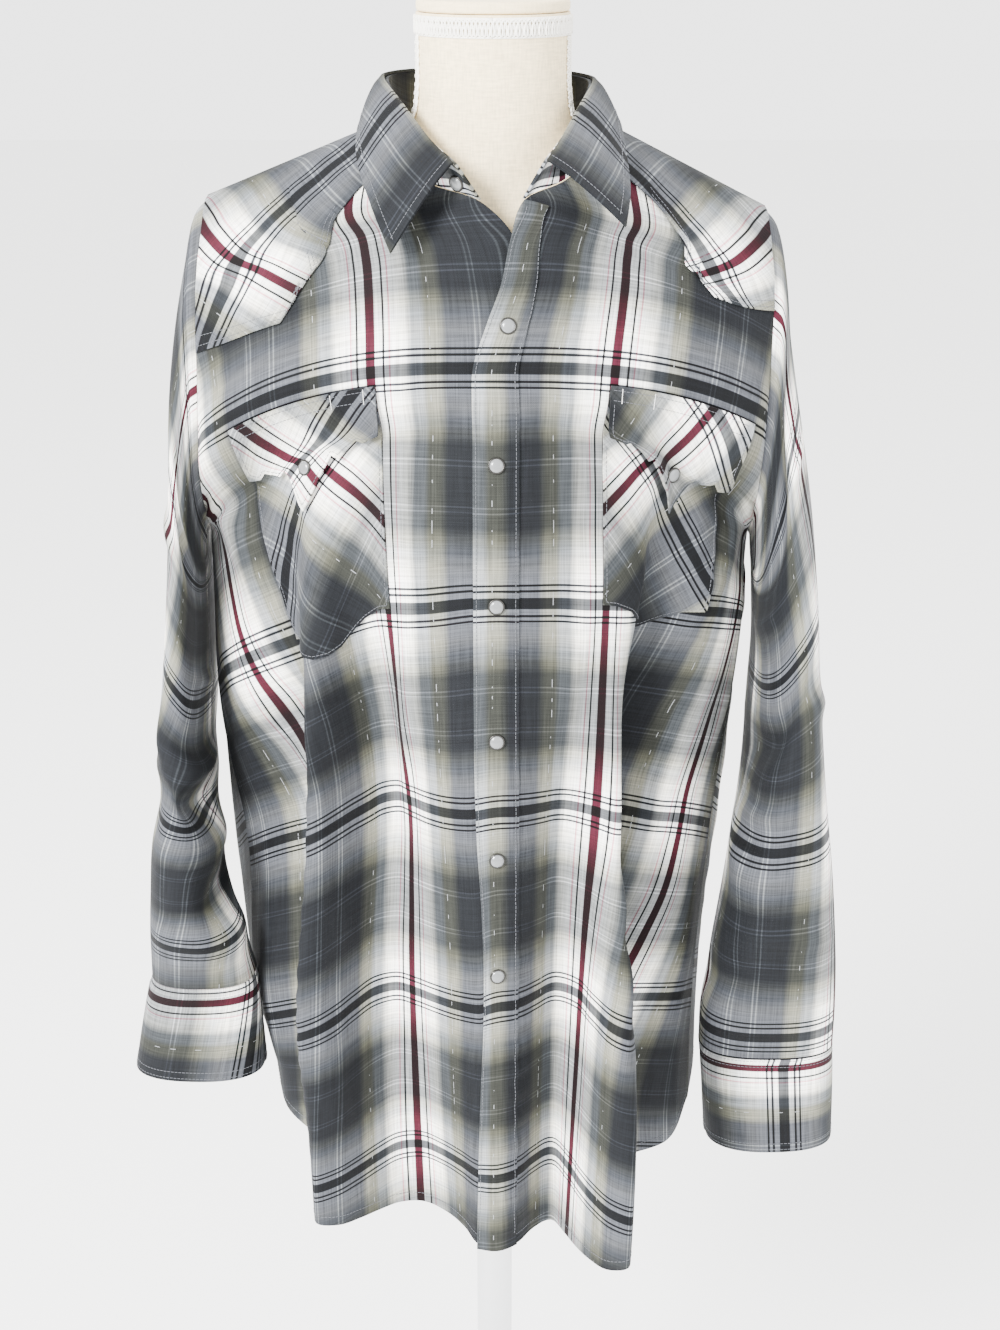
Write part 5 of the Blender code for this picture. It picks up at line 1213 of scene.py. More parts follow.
def model_snap(radius):
    """One snap at the origin, facing up: a pearl cap set in a thin metal ring."""
    cap = cylinder(40, radius * SNAP_CAP, 0.0002, 0.0016)
    shape_top(cap, lambda: inset((radius * 0.10, 0.0005), (radius * 0.16, 0.00038),
                                 (radius * 0.22, 0.00022), (radius * 0.22, 0.00008)))
    bevelled(cap, 0.00012, 2, 60)
    cap.data.materials.append(material("pearl_snap"))
    bpy.ops.mesh.primitive_torus_add(
        major_radius=radius * SNAP_RING, minor_radius=radius * SNAP_WIRE,
        major_segments=40, minor_segments=10, location=(0, 0, 0.00095))
    ring = bpy.context.active_object
    # The ring's dark colour is painted shade round the rim of the cap.
    ring.data.materials.append(material("nickel_ring_painted_shade"))
    bpy.ops.object.shade_smooth()
    choose(cap, ring)
    bpy.ops.object.join()
    deselect()
    return cap


def build_snaps(radius):
    """A snap in the place of each solid snap, standing as that one does."""
    model = model_snap(radius)
    for name in sorted(name for name in frame["nodes"] if name.startswith("snap_")):
        points = np.array([vertex.co for vertex in bpy.data.objects[name].data.vertices])
        middle = points.mean(axis=0)
        # The thin way of the solid is the snap's axis, and it points away from the body.
        axis = np.linalg.svd(points - middle)[2][2]
        if axis @ (middle * [1, 1, 0] - [0, 0.1, 0]) < 0:
            axis = -axis
        foot = middle + axis * np.min((points - middle) @ axis)
        turn = Vector(axis).to_track_quat("Z", "Y").to_matrix().to_4x4()
        copied = bpy.data.objects.new(f"{name}_pearl", model.data.copy())
        bpy.context.scene.collection.objects.link(copied)
        copied.data.name = copied.name
        copied.data.transform(Matrix.Translation(foot) @ turn)
        finished(copied, "pearl_snap", name)
    bpy.data.objects.remove(model, do_unlink=True)


# ---- topstitching ----
def on_cloth(panel, line):
    """Points and normals of a line of cloth places on a panel."""
    places = np.array(line, float)
    run = run_of(places)
    at = np.arange(0, run[-1], 0.0015)
    return read_cloth(panel, *locate(panel, *(np.interp(at, run, places[:, k]) for k in (0, 1))))


def along_edge(panel, margin, first, last):
    """Points and normals of a line at a margin from a panel's last row."""
    outer = PANELS[panel][0]
    cols = np.arange(first, last, 0.5)
    rows = np.arange(len(outer), dtype=float)
    at = []
    for col in cols:
        points = read_grid(outer, rows, np.full(len(rows), col))
        at.append(rows[-1] - np.interp(margin, run_of(points[::-1]), rows))
    return read_cloth(panel, np.array(at), cols)


def sew(name, lines, length, pitch, finish="polyester_thread"):
    """Topstitching: a short flat stitch of thread at each step of the lines."""
    corners, faces = [], []
    # A stitch is a low box whose top is shorter and narrower than its foot.
    box = np.array([(x, y, z) for x in (-1, 1) for y in (-1, 1) for z in (0, 1)], float)
    box[:, 0] *= np.where(box[:, 2] > 0, 0.72, 1.0) * length / 2
    box[:, 1] *= np.where(box[:, 2] > 0, 0.55, 1.0) * THREAD_WIDTH / 2
    box[:, 2] *= THREAD_HEIGHT
    box_faces = ((0, 1, 3, 2), (4, 6, 7, 5), (0, 4, 5, 1), (2, 3, 7, 6), (1, 5, 7, 3), (0, 2, 6, 4))
    for points, normal in lines:
        run = run_of(points)
        for at in np.arange(pitch / 2, run[-1] - pitch / 2, pitch):
            start, end = (np.array([np.interp(at + way * length / 2, run, points[:, k])
                                    for k in range(3)]) for way in (-1, 1))
            out = unit(np.array([np.interp(at, run, normal[:, k]) for k in range(3)]))
            along_way = unit(end - start)
            across_way = unit(np.cross(out, along_way))
            faces += [tuple(len(corners) + i for i in face) for face in box_faces]
            corners += list((start + end) / 2 + box @ [along_way, across_way, out])
    return shown(shells(name, corners, faces), finish, "plaid_shirting")


def stitch_body(length, pitch):
    """Topstitching on the placket, yokes, pockets, flaps and the fronts' hems."""
    free = PANELS["placket"][2][:, 0].max() + PLACKET_STITCHES[0]
    inner = PLACKET_EDGE - PLACKET_STITCHES[1]
    sew("stitches_placket", [on_cloth("placket", [(across, 0.004), (across, 0.758)])
                             for across in (free, inner)], length, pitch)
    start, end = POCKET_SIDES
    for side in SIDES:
        edge = np.array(YOKE_FRONT[side])[1:]
        sew(f"stitches_yoke_{side}", [on_cloth(f"yoke_{side}", edge - [0.0, up])
                                      for up in YOKE_STITCHES], length, pitch)
        left, right = start + POCKET_STITCH, end - POCKET_STITCH
        foot = [(across, down - POCKET_STITCH) for across, down in POCKET_FOOT]
        inner = [place for place in foot if left < place[0] < right]
        sew(f"stitches_pocket_{side}", [on_cloth(f"pocket_{side}", [
            (left, 0.150), (left, foot[0][1]), *inner, (right, foot[-1][1]), (right, 0.150)])],
            length, pitch)
        flap = f"pocket_flap_{side}"
        lines = [on_cloth(flap, [(start + 0.002, FLAP_TOP + low), (end - 0.002, FLAP_TOP + low)])
                 for low in FLAP_STITCHES]
        left, right = start + 0.003, end - 0.003
        edge = [(min(max(across, left), right), down - FLAP_EDGE_STITCH)
                for across, down in FLAP_EDGE]
        lines.append(on_cloth(flap, [(left, FLAP_TOP + 0.010), *edge, (right, FLAP_TOP + 0.010)]))
        sew(f"stitches_flap_{side}", lines, length, pitch)
        # Bar tacks are dense white stitches across the flap's top.
        tacks = [on_cloth(flap, [(at, FLAP_TOP + 0.0008), (at, FLAP_TOP + 0.0100)])
                 for at in BAR_TACKS]
        sew(f"bar_tacks_{side}", tacks, 0.0010, 0.0009, "bar_tack_thread")
        last = PANELS[side][0].shape[1] - 1
        for name, panel, first in (("hem", side, 0.5), ("hem_back", f"back_{side}", 0.0)):
            sew(f"stitches_{name}_{side}", [along_edge(panel, HEM_STITCH, first, last)],
                length, pitch)


def stitch_collar_and_cuffs(length, pitch):
    """Topstitching round the collar leaf and the cuffs."""
    outer = PANELS["collar"][0]
    cols = outer.shape[1]
    lines = [along_edge("collar", COLLAR_STITCH, 1.2, cols - 2.2)]
    for col, way in ((0, 1), (cols - 1, -1)):
        between = np.linalg.norm(outer[-1, col] - outer[-1, col + way])
        rows = np.linspace(0.6, len(outer) - 2.2, 60)
        lines.append(read_cloth("collar", rows, np.full(60, col + way * COLLAR_STITCH / between)))
    sew("stitches_collar", lines, length, pitch)
    turn = np.arange(0, RING_POINTS - 0.9, 0.5)
    for side in SIDES:
        down = PANELS[f"cuff_{side}"][3][:, 0]
        rows = [np.interp(at if at > 0 else down[-1] + at, down, np.arange(len(down)))
                for at in CUFF_STITCHES]
        sew(f"stitches_cuff_{side}", [read_cloth(f"cuff_{side}", np.full(len(turn), row), turn)
                                      for row in rows], length, pitch)


# ---- dress form ----
def form_ring(ring, count):
    """One ring of the torso's surface."""
    side, depth = rounded(np.linspace(0, 2 * math.pi, count, endpoint=False), ring["square"])
    reach = np.where(depth < 0, -ring["y_front"], ring["y_back"])
    middle = np.where(depth < 0, ring["z_front"], ring["z_back"])
    return np.stack([ring["half_width"] * side, reach * depth,
                     ring["z_side"] + (middle - ring["z_side"]) * depth ** 2], axis=1)


def capped(rings, cols):
    """The faces of a tube of rings, closed at both ends."""
    ends = [tuple(start + c for c in range(cols)) for start in (0, (rings - 1) * cols)]
    return grid_quads(rings, cols, ring=True) + ends


def build_form_torso():
    """Torso and neck in one skin of linen, closed at both ends."""
    knots = np.arange(len(FORM_RINGS), dtype=float)
    at = np.arange(0, len(FORM_RINGS) - 1 + EVEN, 0.2)
    rings = np.array([form_ring(ring, 96)
                      for ring in named(FORM, along(knots, np.array(FORM_RINGS), at))])
    mesh = shells("form_torso_linen", rings.reshape(-1, 3), capped(*rings.shape[:2]))
    smooth(mesh)
    shown(mesh, "cream_linen", "cream_linen", "form_torso")


def tube(points, radius, sides):
    """The points and faces of a round cord along a line of points."""
    points = np.asarray(points, float)
    way = unit(np.gradient(points, axis=0))
    first = unit(np.cross(way, unit(points * [1, 1, 0])))
    second = np.cross(way, first)
    turn = np.linspace(0, 2 * math.pi, sides, endpoint=False)[None, :, None]
    rings = points[:, None] + radius * (np.cos(turn) * first[:, None]
                                        + np.sin(turn) * second[:, None])
    return rings.reshape(-1, 3), capped(len(points), sides)


def neck_point(angle, height, off):
    """A place on the neck of the form at an angle from the front, a little off its skin."""
    level = np.interp(height, *zip(*NECK_SKIN))
    return np.array([np.sin(angle) * (level + off), -np.cos(angle) * (level + off), height])


def build_braid(pitch):
    """Looped gimp braid round the top of the neck and down its two seams."""
    turns = round(2 * math.pi * BRAID_ROUND / pitch)
    paths = []
    phases = ((0.0, 0.0), (0.5, 0.0004))    # two cords loop over each other
    for phase, off in phases:
        t = np.arange(0, turns * 10 + 1) / 10.0
        loop = 2 * math.pi * (t + phase)
        angle = (t + BRAID_LEAN * np.sin(loop)) / turns * 2 * math.pi
        height = BRAID_TOP + BRAID_LOOP * np.cos(loop)
        paths.append([neck_point(a, h, 0.0012 + off) for a, h in zip(angle, height)])
    for side in (-1, 1):
        for phase, off in phases:
            t = np.arange(0, BRAID_SEAM_LENGTH / (pitch / 10)) / 10.0
            loop = 2 * math.pi * (t + phase)
            height = BRAID_SEAM - pitch * (t + BRAID_LEAN * np.sin(loop))
            angle = side * BRAID_SEAM_ANGLE + BRAID_SEAM_LOOP / BRAID_ROUND * np.cos(loop)
            paths.append([neck_point(a, h, 0.0010 + off) for a, h in zip(angle, height)])
    for height in (BRAID_TOP, *BRAID_EDGES):
        paths.append([neck_point(a, height, 0.0009) for a in np.linspace(0, 2 * math.pi, 121)])
    corners, faces = [], []
    for path in paths:
        points, quads = tube(path, BRAID_CORD, 6)
        faces += [tuple(len(corners) + i for i in quad) for quad in quads]
        corners += list(points)
    mesh = shells("form_neck_braid", corners, faces)
    mesh.shade_smooth()
    shown(mesh, "cotton_gimp", "neck_cap_cloth")


def build_stand():
    """The cap on the neck, the pole and the round base, each turned from a cylinder."""
    cap = cylinder(96, NECK_RADIUS, NECK_TOP + SEAM, CAP_TOP)
    shape_top(cap, lambda: inset((0.004, 0.0), (0.002, -0.0006)))
    turned(cap, "form_cap_cloth", "neck_cap_cloth", "form_cap", 0.0026, 4)
    pole = cylinder(64, POLE_RADIUS, BASE_HEIGHT + BOSS_HEIGHT + SEAM, TORSO_BOTTOM - SEAM)
    turned(pole, "form_pole_tube", "pole_steel", "form_pole", 0.0012, 3)
    base = cylinder(128, BASE_RADIUS, 0, BASE_HEIGHT)

    def boss():
        inset((BASE_RADIUS - BOSS_RADIUS, 0.0), (0.008, 0.0))
        bpy.ops.mesh.extrude_region_move(TRANSFORM_OT_translate={"value": (0, 0, BOSS_HEIGHT)})

    shape_top(base, boss)
    turned(base, "form_base_plate", "base_enamel", "form_base", 0.0030, 4)


def turned(piece, name, finish, node, width, segments):
    """Names and bevels a turned piece, settles it at the origin and gives it its finish."""
    piece.name = piece.data.name = name
    piece.data.transform(piece.matrix_world)
    piece.matrix_world = Matrix.Identity(4)
    bevelled(piece, width, segments)
    piece.data.materials.append(material(finish))
    finished(piece, finish, node)


# ---- finishes ----
# The plaid's bands, in millimetres from the middle of the maroon warp stripe and of the
# wide weft bar: a colour's name, and where it starts and ends, or where it is passed.
WARP_STRIPE, WARP_HALF = 0.078, 0.078      # its place in the weave, and half a repeat
WARP_BANDS = (
    ("maroon", 0.0, 2.9), ("white", 3.3, 7.8), ("black", 8.1, 9.2), ("white", 9.5, 12.0),
    ("pink", 12.3, 13.0), ("white", 13.3), ("cream", 21.0), ("blue_grey", 27.0, 33.0),
    ("olive", 36.5, 43.0), ("dark", 49.0, 66.6), ("streak", 67.0, 67.6), ("dark", 68.0, 69.8),
    ("streak", 70.2, 70.7), ("dark", 71.1, 78.0),
)
WEFT_BAR, WEFT_HALF = 0.100, 0.075
WEFT_BANDS = (
    ("bar", 0.0, 3.7), ("white", 4.1, 7.4), ("thin", 7.7, 9.0), ("white", 9.3, 11.2),
    ("thin", 11.5, 12.6), ("white", 12.9), ("cream", 24.0), ("weft_grey", 33.0),
    ("weft_olive", 41.0), ("weft_dark", 49.0, 58.0), ("weft_streak", 58.4, 59.0),
    ("weft_dark", 59.4, 61.4), ("weft_streak", 61.8, 62.3), ("weft_dark", 62.7, 75.0),
)
DEEPENING = 0.02           # the smaller, the paler the tones that still deepen where yarns cross
SLUB_TONE = 0.9            # how much a thick or thin yarn differs from its neighbours
METAL_PLACE = 0.0385       # of the metal yarn, from the middle of the maroon stripe
METAL_WIDTH = 0.0004
METAL_HIDDEN = 0.62        # the noise level above which a painted glint dash of it shows
THREAD_SHOWN = 0.0013      # threads are 0.5 mm apart, and are drawn coarser to show at all


def linear(code):
    """A colour as hex digits, turned to linear values with alpha."""
    parts = [int(code[i:i + 2], 16) / 255 for i in (0, 2, 4)]
    return (*[c / 12.92 if c <= 0.04045 else ((c + 0.055) / 1.055) ** 2.4 for c in parts], 1.0)


def scaled(colour, share):
    """A linear colour made lighter or darker, up to white."""
    return (*[min(c * share, 1.0) for c in colour[:3]], 1.0)


def fill(tree, sockets, inputs):
    """Sets each input socket to a value, or links it to another node's output."""
    for key, value in inputs.items():
        if isinstance(value, bpy.types.NodeSocket):
            tree.links.new(value, sockets[key])
        else:
            sockets[key].default_value = value


def add(tree, kind, settings, inputs, output=0):
    """Adds a node with its settings and inputs, and gives one of its outputs."""
    node = tree.nodes.new("ShaderNode" + kind)
    for key, value in settings.items():
        setattr(node, key, value)
    fill(tree, node.inputs, inputs)
    return node.outputs[output]


def plaid(tree, shader, colours):
    """Woven shadow plaid: yarn-dyed warp and weft in an even plain weave.

    The stripes are drawn from the weave coordinates in metres, and mirror about the maroon
    stripe and the wide bar. Light passes both yarns of the thin cloth, so each crossing
    shows the warp's colour times the weft's.
    """
    weave = add(tree, "UVMap", {"uv_map": "weave"}, {})
    both, stripes = [], []
    for axis, centre, half, bands in (("X", WARP_STRIPE, WARP_HALF, WARP_BANDS),
                                      ("Y", WEFT_BAR, WEFT_HALF, WEFT_BANDS)):
        place = add(tree, "SeparateXYZ", {}, {0: weave}, axis)
        away = add(tree, "Math", {"operation": "SUBTRACT"}, {0: place, 1: centre})
        away = add(tree, "Math", {"operation": "PINGPONG"}, {0: away, 1: half})
        share = add(tree, "Math", {"operation": "DIVIDE"}, {0: away, 1: half})
        stripe = add(tree, "ValToRGB", {}, {0: share})
        ramp = stripe.node.color_ramp.elements
        stops = [(at / (half * 1000), colours[name]) for name, *places in bands for at in places]
        for number, (at, colour) in enumerate(stops):
            stop = ramp[number] if number < 2 else ramp.new(at)
            stop.position, stop.color = at, colour
        both.append((place, away))
        stripes.append(stripe)
    mixed = add(tree, "Mix", {"data_type": "RGBA", "blend_type": "MULTIPLY"},
                {0: 1.0, 6: stripes[0], 7: stripes[1]}, 2)
    # Where both yarns are dark, nothing light lies behind either: the tone deepens.
    square = add(tree, "VectorMath", {"operation": "MULTIPLY"}, {0: mixed, 1: mixed})
    raised = add(tree, "VectorMath", {"operation": "ADD"}, {0: mixed, 1: (DEEPENING,) * 3})
    mixed = add(tree, "VectorMath", {"operation": "DIVIDE"}, {0: square, 1: raised})
    # Slubs: single yarns a little lighter or darker for a few centimetres of their length.
    slubs = []
    for stretch in ((900.0, 26.0, 1.0), (26.0, 900.0, 1.0)):
        spot = add(tree, "Mapping", {}, {"Vector": weave, "Scale": stretch})
        slubs.append(add(tree, "TexNoise", {"noise_dimensions": "2D"},
                         {"Vector": spot, "Scale": 1.0, "Detail": 1.0}))
    slub = add(tree, "Math", {"operation": "ADD"}, {0: slubs[0], 1: slubs[1]})
    slub = add(tree, "Math", {"operation": "SUBTRACT"}, {0: slub, 1: 1.0})
    slub = add(tree, "Math", {"operation": "MULTIPLY"}, {0: slub, 1: SLUB_TONE})
    tone = add(tree, "Math", {"operation": "ADD"}, {0: slub, 1: 1.0})
    toned = add(tree, "VectorMath", {"operation": "SCALE"}, {0: mixed, "Scale": tone})
    # A flat metal yarn lies beside each pale stripe. Its glints are painted: fixed dashes of pale
    # grey colour, part metallic, set by noise rather than by the light.
    yarn = add(tree, "Math", {"operation": "COMPARE"},
               {0: both[0][1], 1: METAL_PLACE, 2: METAL_WIDTH / 2})
    spot = add(tree, "Mapping", {}, {"Vector": weave, "Scale": (60.0, 160.0, 1.0)})
    dash = add(tree, "TexNoise", {"noise_dimensions": "2D"},
               {"Vector": spot, "Scale": 1.0, "Detail": 0.0})
    dash = add(tree, "Math", {"operation": "GREATER_THAN"}, {0: dash, 1: METAL_HIDDEN})
    glint = add(tree, "Math", {"operation": "MULTIPLY"}, {0: yarn, 1: dash})
    rise = []
    for place, _ in both:
        turn = add(tree, "Math", {"operation": "MULTIPLY"},
                   {0: place, 1: 2 * math.pi / THREAD_SHOWN})
        rise.append(add(tree, "Math", {"operation": "SINE"}, {0: turn}))
    grain = add(tree, "Math", {"operation": "MULTIPLY"}, {0: rise[0], 1: rise[1]})
    thick = add(tree, "Math", {"operation": "MULTIPLY"}, {0: slub, 1: 3.0})
    grain = add(tree, "Math", {"operation": "ADD"}, {0: grain, 1: thick})
    # The base colour and metallic carry the painted glint dashes of the metal yarn.
    fill(tree, shader.inputs, {
        "Base Color": add(tree, "Mix", {"data_type": "RGBA"},
                          {0: glint, 6: toned, 7: colours["metal_yarn_glint"]}, 2),
        "Metallic": add(tree, "Math", {"operation": "MULTIPLY"}, {0: glint, 1: 0.4}),
        "Normal": add(tree, "Bump", {}, {"Strength": 0.22, "Distance": 0.00025, "Height": grain}),
        "Roughness": 0.78, "Sheen Weight": 0.02, "Sheen Roughness": 0.45,
        "Specular IOR Level": 0.12})


def linen(tree, shader, colour, pitch, strength, fleck=0.10):
    """Unbleached linen or cotton: an open plain weave with thick and thin yarns."""
    place = add(tree, "TexCoord", {}, {}, "Object")
    bright = []
    for stretch in ((1 / pitch, 1 / pitch, 0.12 / pitch), (0.12 / pitch, 0.12 / pitch, 1 / pitch)):
        spot = add(tree, "Mapping", {}, {"Vector": place, "Scale": stretch})
        bright.append(add(tree, "TexNoise", {}, {"Vector": spot, "Scale": 1.0, "Detail": 2.0}))
    both = add(tree, "Math", {"operation": "ADD"}, {0: bright[0], 1: bright[1]})
    level = add(tree, "MapRange", {}, {"Value": both, "From Min": 0.7, "From Max": 1.3})
    shade, light = scaled(colour, 1 - fleck * 2.2), scaled(colour, 1 + fleck)
    fill(tree, shader.inputs, {
        "Base Color": add(tree, "Mix", {"data_type": "RGBA"}, {0: level, 6: shade, 7: light}, 2),
        "Normal": add(tree, "Bump", {}, {"Strength": strength, "Distance": 0.0004, "Height": both}),
        "Roughness": 0.88, "Sheen Weight": 0.10})


def hard(tree, shader, colour, roughness, metallic=0.0, coat=0.0, variation=0.04, scale=60.0):
    """A hard finish with a faint unevenness of tone and gloss."""
    place = add(tree, "TexCoord", {}, {}, "Object")
    noise = add(tree, "TexNoise", {}, {"Vector": place, "Scale": scale, "Detail": 3.0})
    dull = scaled(colour, 1 - variation * 2)
    fill(tree, shader.inputs, {
        "Base Color": add(tree, "Mix", {"data_type": "RGBA"}, {0: noise, 6: dull, 7: colour}, 2),
        "Roughness": add(tree, "MapRange", {}, {"Value": noise, "To Min": roughness - 0.05,
                                                "To Max": roughness + 0.08}),
        "Metallic": metallic, "Coat Weight": coat, "Coat Roughness": 0.06})


# The maker of each finish, its colour as hex or by its name among the user's, and the rest.
FINISHES = {
    # Moulded pearl resin: milky, with a clear glossy skin.
    "pearl_snap": (hard, "pearl", {"roughness": 0.22, "coat": 0.5, "variation": 0.05,
                                   "scale": 350.0}),
    # Stamped brass plated with nickel, faintly warm; its colour is far darker than bright nickel, a
    # painted shade that outlines the pearl cap.
    "nickel_ring_painted_shade": (hard, "3A3937", {"roughness": 0.30, "metallic": 1.0, "scale": 500.0}),
    # Spun polyester: matt, with the twist of its plies. Bar tacks are of the same, left white.
    "polyester_thread": (linen, "505257", {"pitch": 0.0008, "strength": 0.4, "fleck": 0.06}),
    "bar_tack_thread": (linen, "E6E6E4", {"pitch": 0.0008, "strength": 0.4, "fleck": 0.06}),
    # Plain-woven linen: threads 1.1 mm apart, uneven, matt and a little furry.
    "cream_linen": (linen, "form_cloth", {"pitch": 0.0011, "strength": 0.5}),
    "neck_cap_cloth": (linen, "form_cloth", {"pitch": 0.0011, "strength": 0.4, "fleck": 0.06}),
    # Gimp braid: white cotton whipped over a cord.
    "cotton_gimp": (linen, "F0EDE4", {"pitch": 0.0007, "strength": 0.5, "fleck": 0.05}),
    # Drawn steel tube, brushed and plated.
    "pole_steel": (hard, "D9DADB", {"roughness": 0.32, "metallic": 0.9, "scale": 90.0}),
    # Pressed steel under stoved enamel: smooth, white and softly glossy.
    "base_enamel": (hard, "EDEDEB", {"roughness": 0.34, "coat": 0.3, "variation": 0.02}),
    # A painted studio floor: pale and dull.
    "studio_floor": (hard, "F6F6F5", {"roughness": 0.72, "variation": 0.005, "scale": 3.0}),
}


def material(name):
    """The finish of that name, made the first time it is asked for."""
    found = bpy.data.materials.get(name + "_finish")
    if found:
        return found
    made = bpy.data.materials.new(name + "_finish")
    made.use_nodes = True
    tree, shader = made.node_tree, made.node_tree.nodes["Principled BSDF"]
    chosen = {key: (*getattr(bpy.context.scene.shirt_colours, key), 1.0) for key in COLOURS}
    if name == "plaid_shirting":
        plaid(tree, shader, chosen)
    else:
        maker, colour, settings = FINISHES[name]
        maker(tree, shader, chosen.get(colour) or linear(colour), **settings)
    return made


# ---- stage ----
def build_stage():
    """Floor, soft lights and camera."""
    deselect()
    bpy.ops.mesh.primitive_plane_add(size=16.0, location=(0, 3.0, -0.0005))
    floor = bpy.context.active_object
    floor.name = "studio_floor"
    floor.data.materials.append(material("studio_floor"))
    world = bpy.context.scene.world = bpy.data.worlds.new("studio")
    world.use_nodes = True
    sky = world.node_tree.nodes["Background"].inputs
    sky["Color"].default_value, sky["Strength"].default_value = (1.0, 1.0, 1.0, 1.0), SKY_STRENGTH
    for name, spot, aim, size, power in LIGHTS:
        lamp = bpy.data.lights.new(name, "AREA")
        lamp.shape, lamp.size, lamp.energy = "DISK", size, power
        holder = bpy.data.objects.new(name, lamp)
        bpy.context.scene.collection.objects.link(holder)
        holder.location = spot
        holder.rotation_euler = (Vector(aim) - Vector(spot)).to_track_quat("-Z", "Y").to_euler()
    lens = bpy.data.cameras.new("studio_camera")
    lens.lens, lens.sensor_width, lens.sensor_fit = LENS, 36.0, "AUTO"
    lens.clip_start, lens.clip_end = 0.05, 60.0
    camera = bpy.data.objects.new("studio_camera", lens)
    bpy.context.scene.collection.objects.link(camera)
    camera.location = CAMERA_PLACE
    camera.rotation_euler = (math.radians(CAMERA_TILT), 0.0, 0.0)
    bpy.context.scene.camera = camera


# ---- add-on ----
COLOURS = {
    "white": ("FCFCFB", "White yarn", "Beside the maroon stripe and the bars"),
    "cream": ("F0EEE7", "Cream yarn", "The pale ground of the plaid"),
    "blue_grey": ("86898C", "Blue-grey warp", "Where the pale warp turns darker"),
    "olive": ("75756D", "Olive-grey warp", "Between the pale and the dark warp"),
    "dark": ("4C4E53", "Dark navy-grey warp", "The dark ground of the warp"),
    "streak": ("6C6F73", "Single light warp yarn", "Light yarns in the dark warp"),
    "maroon": ("46202C", "Maroon warp", "The stripe down the middle of the pale warp"),
    "black": ("1A1C21", "Black warp", "Fine dark lines of the warp"),
    "pink": ("DFA3AE", "Pale pink warp", "Fine pink lines of the warp"),
    "weft_grey": ("BEC0C0", "Pale grey weft", "Where the pale weft turns darker"),
    "weft_olive": ("A6A69F", "Olive-grey weft", "Between the pale and the dark weft"),
    "weft_dark": ("717374", "Dark grey weft", "The dark ground of the weft"),
    "weft_streak": ("919396", "Single light weft yarn", "Light yarns in the dark weft"),
    "bar": ("55575A", "Weft of the wide bar", "The wide bar of the weft"),
    "thin": ("33353A", "Weft of the thin bars", "The thin bars beside it"),
    # The metal yarn's colour, used only in its painted glint dashes.
    "metal_yarn_glint": ("8C8E90", "Metal yarn", "Dashes of flat metal yarn"),
    "pearl": ("686A6B", "Snap caps", "Pearl resin of the snaps"),
    "form_cloth": ("E8D5AC", "Form cloth", "Linen that covers the dress form"),
}
LENGTH = {"subtype": "DISTANCE", "unit": "LENGTH"}


def colour_property(key):
    """A colour a user may change."""
    code, name, about = COLOURS[key]
    return FloatVectorProperty(name=name, description=about, subtype="COLOR", size=3,
                               min=0.0, max=1.0, default=linear(code)[:3])


class ShirtColours(bpy.types.PropertyGroup):
    """Yarns of the plaid, and the other finishes' colours."""
    white: colour_property("white")
    cream: colour_property("cream")
    blue_grey: colour_property("blue_grey")
    olive: colour_property("olive")
    dark: colour_property("dark")
    streak: colour_property("streak")
    maroon: colour_property("maroon")
    black: colour_property("black")
    pink: colour_property("pink")
    weft_grey: colour_property("weft_grey")
    weft_olive: colour_property("weft_olive")
    weft_dark: colour_property("weft_dark")
    weft_streak: colour_property("weft_streak")
    bar: colour_property("bar")
    thin: colour_property("thin")
    metal_yarn_glint: colour_property("metal_yarn_glint")
    pearl: colour_property("pearl")
    form_cloth: colour_property("form_cloth")


class ShirtSizes(bpy.types.PropertyGroup):
    """Sizes of the shirt's small parts."""
    stitch_length: FloatProperty(
        name="Stitch length", description="Thread that shows of one stitch",
        default=0.0021, min=0.0005, max=0.01, **LENGTH)
    stitch_pitch: FloatProperty(
        name="Stitch pitch", description="From one stitch to the next",
        default=0.0028, min=0.001, max=0.01, **LENGTH)
    snap_radius: FloatProperty(
        name="Snap radius", description="Outside of a snap's metal ring",
        default=0.0052, min=0.002, max=0.01, **LENGTH)
    braid_pitch: FloatProperty(
        name="Braid pitch", description="From one loop of the braid to the next",
        default=0.0052, min=0.002, max=0.02, **LENGTH)


class SHIRT_OT_fronts(bpy.types.Operator):
    """Builds the two fronts"""
    bl_idname = "shirt.fronts"
    bl_label = "Fronts"

    def execute(self, context):
        for side in SIDES:
            build_front(side)
        return {"FINISHED"}


class SHIRT_OT_back(bpy.types.Operator):
    """Builds the back in one piece"""
    bl_idname = "shirt.back"
    bl_label = "Back"

    def execute(self, context):
        piece = joined_back("back", len(ROWS["back"]), 0.0, BACK_CUT)
        return {"FINISHED"}


class SHIRT_OT_sleeves(bpy.types.Operator):
    """Builds the two sleeves and their cuffs"""
    bl_idname = "shirt.sleeves"
    bl_label = "Sleeves and cuffs"

    def execute(self, context):
        for side in SIDES:
            build_sleeve(side)
            build_cuff(side)
        return {"FINISHED"}


class SHIRT_OT_collar(bpy.types.Operator):
    """Builds the collar stand and the leaf over it"""
    bl_idname = "shirt.collar"
    bl_label = "Collar"

    def execute(self, context):
        build_collar()
        return {"FINISHED"}


class SHIRT_OT_yokes(bpy.types.Operator):
    """Builds the front and back yokes"""
    bl_idname = "shirt.yokes"
    bl_label = "Yokes"

    def execute(self, context):
        build_yokes()
        return {"FINISHED"}


class SHIRT_OT_placket(bpy.types.Operator):
    """Builds the placket down the left front"""
    bl_idname = "shirt.placket"
    bl_label = "Placket"

    def execute(self, context):
        build_placket()
        return {"FINISHED"}


